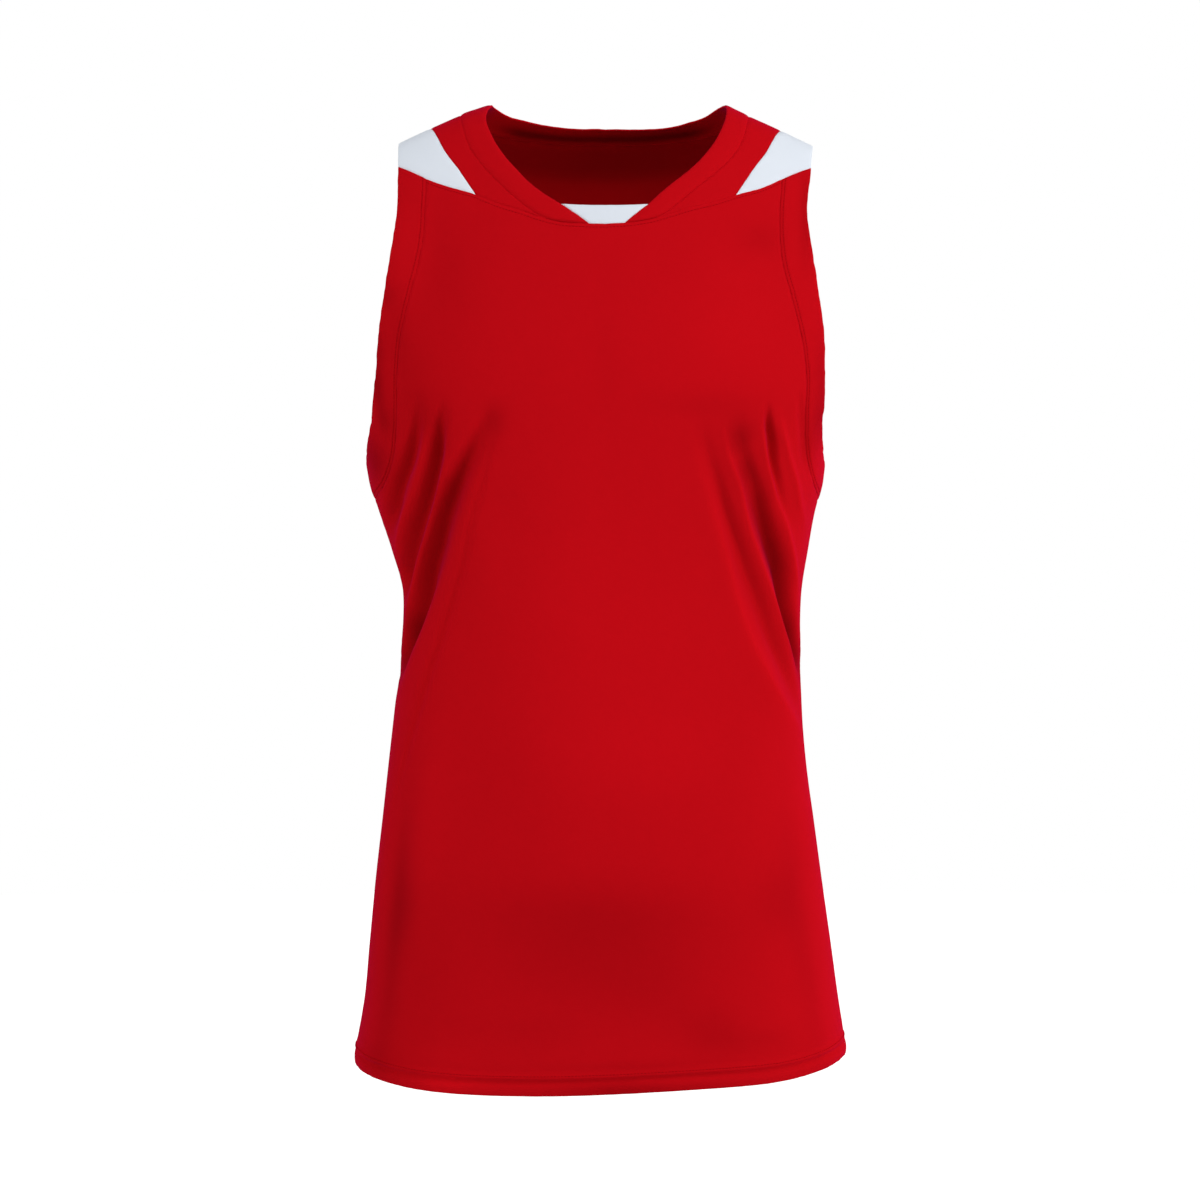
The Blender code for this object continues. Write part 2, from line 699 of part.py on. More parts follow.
def make_collar():
    inner, outer = collar_lines()
    shares = np.linspace(0, 1, 3)[:, None, None]
    grid = outer[None] + (inner - outer)[None] * shares
    for end in (0, -1):
        grid[:, end, 1] = [angle_over(x, yoke_height(x), "front") for x in grid[:, end, 0]]
    points, normals = shoulder_wall(grid[..., 0], grid[..., 1])
    lift = np.where(grid[..., 0] < 0, COLLAR_LIFT.left, COLLAR_LIFT.right) * shares[..., 0] ** 2
    lift = lift * np.exp(-(((grid[..., 1] - 90) / COLLAR_LIFT.spread) ** 2))
    points = points + normals * lift[..., None]
    return sew_piece("collar", points, normals, DOUBLED_WALL, RED)


def coons_patch(bottom, top, left, right):
    """Grid between four edges: bottom and top run across, left and right run up."""
    u = np.linspace(0, 1, len(bottom))[None, :, None]
    v = np.linspace(0, 1, len(left))[:, None, None]
    across = (1 - v) * bottom[None] + v * top[None]
    up = (1 - u) * left[:, None] + u * right[:, None]
    corners = (1 - v) * ((1 - u) * bottom[0] + u * bottom[-1]) + v * ((1 - u) * top[0] + u * top[-1])
    return across + up - corners


def yoke_run(first_out, last_out, sign, count):
    """Stretch of the yoke seam as place across and angle over."""
    x = NECK_AXIS + sign * np.linspace(first_out, last_out, count)
    return np.array([(place, angle_over(place, yoke_height(place), "front")) for place in x])


def seam_run(first_x, last_x, count):
    """Stretch of the shoulder seam as place across and angle over."""
    x = np.linspace(first_x, last_x, count)
    return np.stack([x, np.full(count, SHOULDER_SEAM_TURN)], axis=1)


def insert_edge_line(sign):
    """Inner edge of the shoulder insert, from the yoke seam to the shoulder seam."""
    rows = []
    for row in INSERT_EDGE:
        x = NECK_AXIS + sign * row.out
        height = yoke_height(x) if row is INSERT_EDGE[0] else row.height
        rows.append((x, angle_over(x, height, row.side)))
    last_out = INSERT_EDGE[-1].out
    rows.append((NECK_AXIS + sign * last_out, SHOULDER_SEAM_TURN))
    return resample(rows, COLLAR_FRONT_STEPS + 1, shoulder_surface)


def make_yoke(hand):
    sign = -1 if hand == "left" else 1
    collar_side = collar_half("outer", sign)[: COLLAR_FRONT_STEPS + 1]
    insert_side = insert_edge_line(sign)
    bottom = yoke_run(abs(collar_side[0, 0] - NECK_AXIS), INSERT_EDGE[0].out, sign, YOKE_COLUMNS)
    top = seam_run(collar_side[-1, 0], insert_side[-1, 0], YOKE_COLUMNS)
    grid = coons_patch(bottom, top, collar_side, insert_side)
    points, normals = shoulder_wall(grid[..., 0], grid[..., 1])
    return sew_piece("yoke_" + hand, points, normals, CLOTH_WALL, RED)


def armhole_top_line(hand):
    """Armhole edge over the shoulder, between the yoke seam and the shoulder seam."""
    sign = -1 if hand == "left" else 1
    front_turn, front_height = line_top(ARMHOLE_EDGE, hand, True)
    back_turn, back_height = line_top(ARMHOLE_EDGE, hand, False)
    front_x = float(half_width(front_turn, front_height) * np.sin(front_turn))
    back_x = float(half_width(back_turn, back_height) * np.sin(back_turn))
    ridge_x = sign * (ARMHOLE_EDGE[0].left if hand == "left" else ARMHOLE_EDGE[0].right)
    front_over = angle_over(front_x, front_height, "front")
    rows = [(front_x, front_over), (ridge_x, 90.0), (back_x, SHOULDER_SEAM_TURN)]
    return resample(rows, COLLAR_FRONT_STEPS + 1, shoulder_surface)


def make_shoulder_insert(hand):
    sign = -1 if hand == "left" else 1
    inner_side = insert_edge_line(sign)
    arm_side = armhole_top_line(hand)
    last_out = abs(arm_side[0, 0] - NECK_AXIS)
    bottom = yoke_run(INSERT_EDGE[0].out, last_out, sign, INSERT_COLUMNS)
    top = seam_run(inner_side[-1, 0], arm_side[-1, 0], INSERT_COLUMNS)
    grid = coons_patch(bottom, top, inner_side, arm_side)
    points, normals = shoulder_wall(grid[..., 0], grid[..., 1])
    return sew_piece("shoulder_insert_" + hand, points, normals, CLOTH_WALL, WHITE)


def neck_insert_sides():
    """Sides of the neck insert up the collar's inner edge, left then right, as place across and height."""
    edges = []
    for sign in (-1, 1):
        inner = collar_half("inner", sign)[:COLLAR_FRONT_STEPS]
        height = shoulder_surface(inner[:, 0], inner[:, 1])[:, 2]
        edges.append(np.stack([inner[:, 0], height], axis=1))
    rows = min(np.count_nonzero(edge[:, 1] < NECK_INSERT_TOP - NECK_INSERT_LAST_ROW) for edge in edges)
    sides = []
    for edge in edges:
        top = (np.interp(NECK_INSERT_TOP, edge[:, 1], edge[:, 0]), NECK_INSERT_TOP)
        sides.append(np.concatenate([edge[:rows], [top]]))
    return sides


def make_neck_insert():
    """Gusset between the two ends of the collar, with a slightly sagging top edge."""
    left, right = neck_insert_sides()
    u = np.linspace(0, 1, NECK_INSERT_COLUMNS)
    grid = []
    for part, first, last in zip(np.linspace(0, 1, len(left)), left, right):
        x = first[0] + (last[0] - first[0]) * u
        line = first[1] + (last[1] - first[1]) * u
        seam = yoke_height(x) - (yoke_height(x[0]) + (yoke_height(x[-1]) - yoke_height(x[0])) * u)
        z = line - part * NECK_INSERT_DIP * 4 * u * (1 - u) + (1 - part) * seam
        grid.append([(place, angle_over(place, level, "front")) for place, level in zip(x, z)])
    grid = np.array(grid)
    points, normals = shoulder_wall(grid[..., 0], grid[..., 1])
    return sew_piece("neck_insert", points, normals, DOUBLED_WALL, WHITE)


def main():
    for old in list(bpy.data.objects):
        bpy.data.objects.remove(old)
    make_front_panel()
    make_back_panel()
    make_collar()
    make_neck_insert()
    for hand in ("left", "right"):
        make_yoke(hand)
        make_shoulder_insert(hand)
        make_armhole_band(hand)


main()
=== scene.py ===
import bpy
import numpy as np
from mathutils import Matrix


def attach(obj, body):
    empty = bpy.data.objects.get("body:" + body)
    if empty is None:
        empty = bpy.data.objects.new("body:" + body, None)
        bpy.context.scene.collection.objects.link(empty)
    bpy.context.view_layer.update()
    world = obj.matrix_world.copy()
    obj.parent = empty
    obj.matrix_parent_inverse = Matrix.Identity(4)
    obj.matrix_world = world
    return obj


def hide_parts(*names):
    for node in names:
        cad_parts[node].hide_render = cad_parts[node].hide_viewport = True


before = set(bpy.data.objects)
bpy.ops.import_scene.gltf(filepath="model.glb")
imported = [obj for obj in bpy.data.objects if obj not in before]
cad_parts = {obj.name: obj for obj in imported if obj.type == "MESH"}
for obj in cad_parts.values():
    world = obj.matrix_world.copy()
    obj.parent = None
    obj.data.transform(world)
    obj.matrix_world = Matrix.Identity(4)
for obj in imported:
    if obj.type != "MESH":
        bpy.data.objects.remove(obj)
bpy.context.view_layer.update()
mm = 0.001
print("frame loaded, %d nodes" % len(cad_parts))

# The camera looks level at the middle of the jersey, from straight in front.
cameraSetup = {"distance": 2.617, "height": -0.3736, "lens": 100.0, "sensor": 36.0}


def addObject(name, data):
    thing = bpy.data.objects.new(name, data)
    bpy.context.scene.collection.objects.link(thing)
    return thing


def addCamera():
    data = bpy.data.cameras.new("jerseyCamera")
    data.lens = cameraSetup["lens"]
    data.sensor_width = cameraSetup["sensor"]
    camera = addObject("jerseyCamera", data)
    camera.location = (0, -cameraSetup["distance"], cameraSetup["height"])
    camera.rotation_euler = (np.pi / 2, 0, 0)
    bpy.context.scene.camera = camera


addCamera()

# The body surface that all the cloth follows: millimetres, +Z up, the front faces -Y.
bodyForm = {
    "sections": [  # height, half width left, half width right, depth front, depth back
        (-760, 189.3, 187.5, 118, 121),
        (-738, 190.8, 189.8, 120, 123),
        (-724, 191.5, 192.1, 121, 124),
        (-710, 188.8, 190.6, 120, 123),
        (-690, 185.2, 187.4, 118, 122),
        (-640, 180.1, 180.4, 115, 121),
        (-590, 175.0, 173.2, 111, 117),
        (-545, 169.8, 167.2, 108, 111),
        (-500, 165.1, 161.2, 106, 103),
        (-455, 160.4, 158.0, 105, 97),
        (-420, 157.2, 157.8, 105, 95),
        (-390, 154.2, 156.8, 106, 95),
        (-365, 154.6, 158.0, 108, 97),
        (-335, 162.8, 162.8, 111, 101),
        (-305, 172.8, 168.2, 114, 106),
        (-285, 179.0, 173.2, 116, 109),
        (-265, 182.8, 176.4, 117, 112),
        (-245, 187.8, 182.5, 118, 114),
        (-220, 193.8, 191.0, 118, 116),
        (-180, 196.8, 196.0, 118, 118),
        (-100, 198.8, 201.0, 118, 118),
        (20, 201.8, 207.0, 118, 118),
    ],
    "roundness": 2.3,  # exponent of the sections' rounding, where 2 is an ellipse
    "frontCap": (-215.0, 1.35),  # where the cap over the chest starts, and its exponent
    "backCap": (-170.0, 1.75),
    "capEase": 6.0,
    "capSteps": 1441,
    "soften": (-190.0, -105.0, 34.0),  # the start of the caps is blurred: from, to, reach up and down
    "softenSteps": [(-1, 0.0625), (-0.5, 0.25), (0, 0.375), (0.5, 0.25), (1, 0.0625)],  # step, weight
    "ridgeAxis": 2.0,  # the shoulder ridge: middle, height there, slope outwards, roundness at the top
    "ridgeTop": 45.8,
    "ridgeSlope": 0.5,
    "ridgeRound": 45.0,
    "ridgeDrop": [  # place across, how much lower the cloth lies on the shoulder there
        (-170, 0.8), (-140, 1.0), (-126, 1.4), (-108, 2.0), (-97, 2.7), (-88, 2.0), (-78, 0.7), (-62, 0),
        (60, 0), (85, 0.3), (96, 0.6), (106, 1.6), (115, 1.2), (130, 0.7), (170, 0.4),
    ],
    "shoulderSeam": 98.0,  # degrees over the shoulder, 90 is the ridge
    "clothRadius": 155.0,  # turns an angle round the body into a length
    "pathDetail": 900,
    "pathStep": 4,  # of a finely cut path, every fourth point is kept
    "rounds": 20,  # tries at finding where two lines cross
    "bodySteps": (0.004, 1.0),  # turn in radians and height, to feel the slope of the surface
    "shoulderSteps": (1.0, 0.8),  # place across and degrees over, for the same
}


def smoothCurve(knots, values, at):
    knots = np.asarray(knots, float)
    values = np.asarray(values, float)
    slopes = np.gradient(values, knots)
    at = np.clip(at, knots[0], knots[-1])
    left = np.clip(np.searchsorted(knots, at, side="right") - 1, 0, len(knots) - 2)
    span = knots[left + 1] - knots[left]
    t = (at - knots[left]) / span
    start = (2 * t**3 - 3 * t**2 + 1) * values[left] + (t**3 - 2 * t**2 + t) * span * slopes[left]
    end = (3 * t**2 - 2 * t**3) * values[left + 1] + (t**3 - t**2) * span * slopes[left + 1]
    return start + end


def smoothStep(low, high, value):
    t = np.clip((value - low) / (high - low), 0, 1)
    return t * t * (3 - 2 * t)


def sectionValue(column, height):
    names = ("height", "left", "right", "front", "back")
    rows = bodyForm["sections"]
    return smoothCurve([row[0] for row in rows], [row[names.index(column)] for row in rows], height)


def halfWidth(turn, height):
    return np.where(np.sin(turn) < 0, sectionValue("left", height), sectionValue("right", height))


def ridgeHeight(x):
    out = np.abs(x - bodyForm["ridgeAxis"])
    fall = bodyForm["ridgeSlope"] * (np.hypot(out, bodyForm["ridgeRound"]) - bodyForm["ridgeRound"])
    return bodyForm["ridgeTop"] - fall - smoothCurve(*zip(*bodyForm["ridgeDrop"]), x)


def capProfile(cap):
    angle = np.linspace(0, np.pi / 2, bodyForm["capSteps"])
    power = 1 + (2 / cap[1] - 1) * (1 - np.sin(angle) ** bodyForm["capEase"])
    return angle, np.sin(angle) ** power, np.cos(angle) ** power


def depthAt(x, height, width, isFront):
    share = np.clip(np.abs(x) / width, 0, 1)
    rounding = (1 - share ** bodyForm["roundness"]) ** (1 / bodyForm["roundness"])
    return np.where(isFront, -sectionValue("front", height), sectionValue("back", height)) * rounding


def cappedDepth(x, height, width, isFront):
    depth = depthAt(x, height, width, isFront)
    for cap, here in ((bodyForm["frontCap"], isFront), (bodyForm["backCap"], ~isFront)):
        _, rise, reach = capProfile(cap)
        share = np.clip((height - cap[0]) / (ridgeHeight(x) - cap[0]), 0, 1)
        depth = np.where(here, depth * np.interp(share, rise, reach), depth)
    return depth


# Point of the surface at a turn round the body, in radians from the centre front, and a height.
# The start of the caps is softened up and down.
def bodySurface(turn, height):
    width = halfWidth(turn, height)
    x = width * np.sin(turn)
    low, high, reach = bodyForm["soften"]
    spread = reach * smoothStep(high, low, height)
    depth = 0 * (x + height)
    for step, weight in bodyForm["softenSteps"]:
        depth = depth + weight * cappedDepth(x, height + step * spread, width, np.cos(turn) >= 0)
    return np.stack([x, depth, height + 0 * x], axis=-1)


# The same surface at a place across and an angle over the shoulder.
def shoulderSurface(x, over):
    isFront = over <= 90
    ridge = ridgeHeight(x)
    height = np.zeros_like(x + over)
    reach = np.zeros_like(x + over)
    for cap, here in ((bodyForm["frontCap"], isFront), (bodyForm["backCap"], ~isFront)):
        angle, rise, depth = capProfile(cap)
        own = np.radians(np.where(here, np.where(over <= 90, over, 180 - over), 90))
        height = np.where(here, cap[0] + (ridge - cap[0]) * np.interp(own, angle, rise), height)
        reach = np.where(here, np.interp(own, angle, depth), reach)
    y = depthAt(x, height, halfWidth(np.sign(x), height), isFront) * reach
    return np.stack([x, y, height], axis=-1)


def angleOver(x, height, side):
    if side == "ridge":
        return 90.0 + 0 * x
    cap = bodyForm["frontCap"] if side == "front" else bodyForm["backCap"]
    angle, rise, _ = capProfile(cap)
    own = np.degrees(np.interp((height - cap[0]) / (ridgeHeight(x) - cap[0]), rise, angle))
    return own if side == "front" else 180 - own


def turnOf(x, height):
    return np.arcsin(np.clip(x / halfWidth(np.sign(x), height), -1, 1))


def lengthsAlong(points):
    return np.concatenate([[0], np.cumsum(np.linalg.norm(np.diff(points, axis=0), axis=1))])


# Rows of a smooth curve through a path, at given shares of its length on the surface.
def resample(path, shares, surface):
    path = np.asarray(path, float)
    steps = lengthsAlong(surface(path[:, 0], path[:, 1]))
    fine = np.linspace(0, steps[-1], bodyForm["pathDetail"])
    dense = np.stack([smoothCurve(steps, column, fine) for column in path.T], axis=1)
    length = lengthsAlong(surface(dense[:, 0], dense[:, 1]))
    return np.stack([np.interp(shares * length[-1], length, column) for column in dense.T], axis=1)


# Shares from 0 to 1, closer together at both ends.
def closeEnds(count, crowding=0.35):
    even = np.linspace(0, 1, count)
    return even - crowding * np.sin(2 * np.pi * even) / (2 * np.pi)


# Where the pieces meet. Heights of the yoke seam are for each side of the neck's axis.
seams = {
    "neckAxis": 4.5,
    "yoke": [  # out from the axis, height left, height right
        (0, -87.4, -87.4),
        (20, -86.9, -86.0),
        (36, -85.3, -83.0),
        (50, -81.7, -78.7),
        (64, -76.4, -73.8),
        (82, -70.4, -69.0),
        (102, -61.6, -61.9),
        (120, -55.7, -56.2),
        (136, -49.5, -48.5),
        (150, -42.4, -41.9),
        (162, -36.6, -36.6),
        (185, -25.5, -25.5),
    ],
    "hem": [  # turn, height
        (-180, -742.0),
        (-135, -741.0),
        (-90, -734.5),
        (-66, -740.6),
        (-42, -745.4),
        (-15, -746.0),
        (23, -741.4),
        (46, -738.8),
        (62, -734.4),
        (90, -726.0),
        (135, -736.0),
        (180, -742.0),
    ],
    "underarmSeam": -295.0,  # where the band's seam and its free edge cross the side
    "underarmEdge": -269.0,
    "armholeEdge": [  # height, out left, out right
        (-17, 157.8, 167.0),
        (-36, 157.0, 164.6),
        (-75, 157.2, 160.2),
        (-110, 162.0, 164.5),
        (-143, 166.7, 169.0),
        (-174, 170.5, 172.6),
        (-205, 172.6, 172.8),
        (-235, 176.0, 171.4),
        (-251, 179.8, 172.0),
        (-262, 182.0, 173.8),
    ],
    "bandSeam": [  # height, out left, out right
        (-4, 134.0, 143.0),
        (-47, 134.3, 141.0),
        (-74, 135.0, 138.7),
        (-96, 136.0, 138.4),
        (-118, 139.8, 140.6),
        (-135, 144.2, 145.0),
        (-157, 149.4, 150.6),
        (-179, 153.5, 155.4),
        (-200, 155.0, 157.8),
        (-224, 155.2, 157.5),
        (-248, 156.2, 157.8),
        (-268, 159.3, 160.6),
        (-283, 165.6, 165.0),
        (-292, 173.0, 169.6),
    ],
    "topClearance": 8.0,  # points of a line that are nearer than this to its top are left out
}


def yokeHeight(x):
    outs = [row[0] for row in seams["yoke"]]
    out = np.abs(x - seams["neckAxis"])
    left = smoothCurve(outs, [row[1] for row in seams["yoke"]], out)
    right = smoothCurve(outs, [row[2] for row in seams["yoke"]], out)
    return np.where(x < seams["neckAxis"], left, right)


def hemHeight(turn):
    degrees = np.degrees(np.where(turn > np.pi, turn - 2 * np.pi, turn))
    return smoothCurve([row[0] for row in seams["hem"]], [row[1] for row in seams["hem"]], degrees)


def yokeEdge(turn):
    height = np.full_like(np.asarray(turn, float), seams["yoke"][0][1])
    for _ in range(bodyForm["rounds"]):
        height = yokeHeight(halfWidth(turn, height) * np.sin(turn))
    return height


def shoulderSeamHeight(turn):
    height = np.zeros_like(turn)
    for _ in range(bodyForm["rounds"]):
        x = halfWidth(turn, height) * np.sin(turn)
        height = shoulderSurface(x, np.full_like(x, bodyForm["shoulderSeam"]))[..., 2]
    return height


def sideColumn(rows, hand):
    sign, index = (-1, 1) if hand == "left" else (1, 2)
    return sign, [sign * row[index] for row in rows]


# Where an armhole line starts: on the yoke seam in front, on the shoulder seam behind.
def lineTop(rows, hand, isFront):
    heights = [row[0] for row in rows][::-1]
    places = sideColumn(rows, hand)[1][::-1]
    height = 0.0
    for _ in range(bodyForm["rounds"]):
        x = smoothCurve(heights, places, height)
        if isFront:
            height = float(yokeHeight(x))
        else:
            height = float(shoulderSurface(x, np.array(bodyForm["shoulderSeam"]))[2])
    x = float(smoothCurve(heights, places, height))
    return float(turnOf(x, height)), height


def armholeLine(rows, hand, lastHeight, shares, isFront):
    sign, places = sideColumn(rows, hand)
    path = [lineTop(rows, hand, isFront)]
    for row, x in zip(rows, places):
        if row[0] < path[0][1] - seams["topClearance"]:
            path.append((turnOf(x, row[0]), row[0]))
    path.append((sign * np.pi / 2, lastHeight))
    path = np.array(path)
    if not isFront:
        path[:, 0] = sign * np.pi - path[:, 0]
    return resample(path, shares, bodySurface)


# Collar from the V to the centre back: out from the neck axis, each lean moves an edge towards +X.
collar = {
    "rows": [  # side, inner lean, out, height, outer lean, out, height
        ("front", 0.8, 13.7, None, -3.4, 41.0, None),
        ("front", -0.2, 23.3, -79.1, -4.2, 50.0, -77.9),
        ("front", -1.0, 33.6, -71.4, -4.4, 58.0, -71.6),
        ("front", -3.2, 45.5, -62.0, -4.6, 66.0, -64.6),
        ("front", -3.5, 55.2, -53.8, -4.2, 75.0, -56.4),
        ("front", -2.0, 66.5, -43.1, -2.8, 85.4, -46.6),
        ("front", -1.3, 77.0, -31.4, -1.5, 97.0, -34.0),
        ("front", -0.7, 87.0, -16.0, -0.9, 106.4, -17.9),
        ("front", -0.4, 93.2, -0.9, -0.8, 110.9, -2.3),
        ("ridge", 1.2, 92.0, None, -0.7, 112.2, None),
        ("back", 1.5, 88.5, 15.0, 0.0, 109.0, 4.6),
        ("back", 0.0, 78.0, 10.8, 0.0, 98.0, 0.0),
        ("back", 0.0, 62.0, 8.4, 0.0, 78.0, -3.4),
        ("back", 0.0, 42.0, 6.0, 0.0, 53.0, -5.6),
        ("back", 0.0, 21.0, 5.0, 0.0, 26.5, -6.8),
        ("back", 0.0, 0.0, 5.0, 0.0, 0.0, -7.0),
    ],
    "lift": {  # angle over the shoulder, how far the inner edge stands off there
        "left": [(58, 0), (72, -1.4), (82, -2.6), (90, -2.2), (99, 0.6), (109, 2.6), (114, 2.3), (118, 1.2),
                 (122, 0.8), (124.5, 0.2), (126, 0), (136, 0)],
        "right": [(58, 0), (90, 0.2), (106, -0.2), (113, -1.8), (117, -3.8), (120, -3.4), (122, -2.0),
                  (124.5, -0.3), (126, 0), (136, 0)],
    },
    "frontSteps": 110,
    "backSteps": 80,
    "across": 15,
    # painted shadow on the collar's inside, under its fold
    "insideShade": (0.36, 0.3, 0.68),  # place across, reach, darker by
    "insideEnds": (98.0, 64.0),  # out from the neck axis, where that shade ends and where it is full
    "seed": 71,
    "edges": {
        "firstRow": {"roll": 0.9, "pucker": 0.1, "width": 2.6},
        "lastRow": {"roll": 0.8, "pucker": 0.12},
        "firstColumn": {"pucker": 0.0},
        "lastColumn": {"pucker": 0.0},
    },
    # edges with painted seam shade, and the kind of each
    "paintedSeamEdges": {"firstRow": "seam", "firstColumn": "border", "lastColumn": "border"},
    "sheet": ((0.56, 0.022), 0.0113, "draped"),
}
frontShares = np.linspace(0, 1, collar["frontSteps"] + 1)
backShares = np.linspace(0, 1, collar["backSteps"] + 1)


# One edge of half the collar, with a point on the shoulder seam between its front and back rows.
def collarHalf(which, sign, frontShares, backShares):
    path = []
    first = 1 if which == "inner" else 4
    for row in collar["rows"]:
        lean, out, height = row[first : first + 3]
        x = seams["neckAxis"] + lean + sign * out
        height = yokeHeight(x) if row is collar["rows"][0] else height
        path.append((x, angleOver(x, height, row[0])))
    fine = resample(path, np.linspace(0, 1, bodyForm["pathDetail"]), shoulderSurface)
    seam = bodyForm["shoulderSeam"]
    split = np.argmax(fine[:, 1] > seam)
    share = (seam - fine[split - 1, 1]) / (fine[split, 1] - fine[split - 1, 1])
    middle = fine[split - 1] + share * (fine[split] - fine[split - 1])
    step = bodyForm["pathStep"]
    front = resample(np.concatenate([fine[:split], [middle]])[::step], frontShares, shoulderSurface)
    front[-1] = middle
    back = resample(np.concatenate([[middle], fine[split:]])[::step], backShares, shoulderSurface)
    back[-1] = fine[-1]
    return np.concatenate([front, back[1:]])


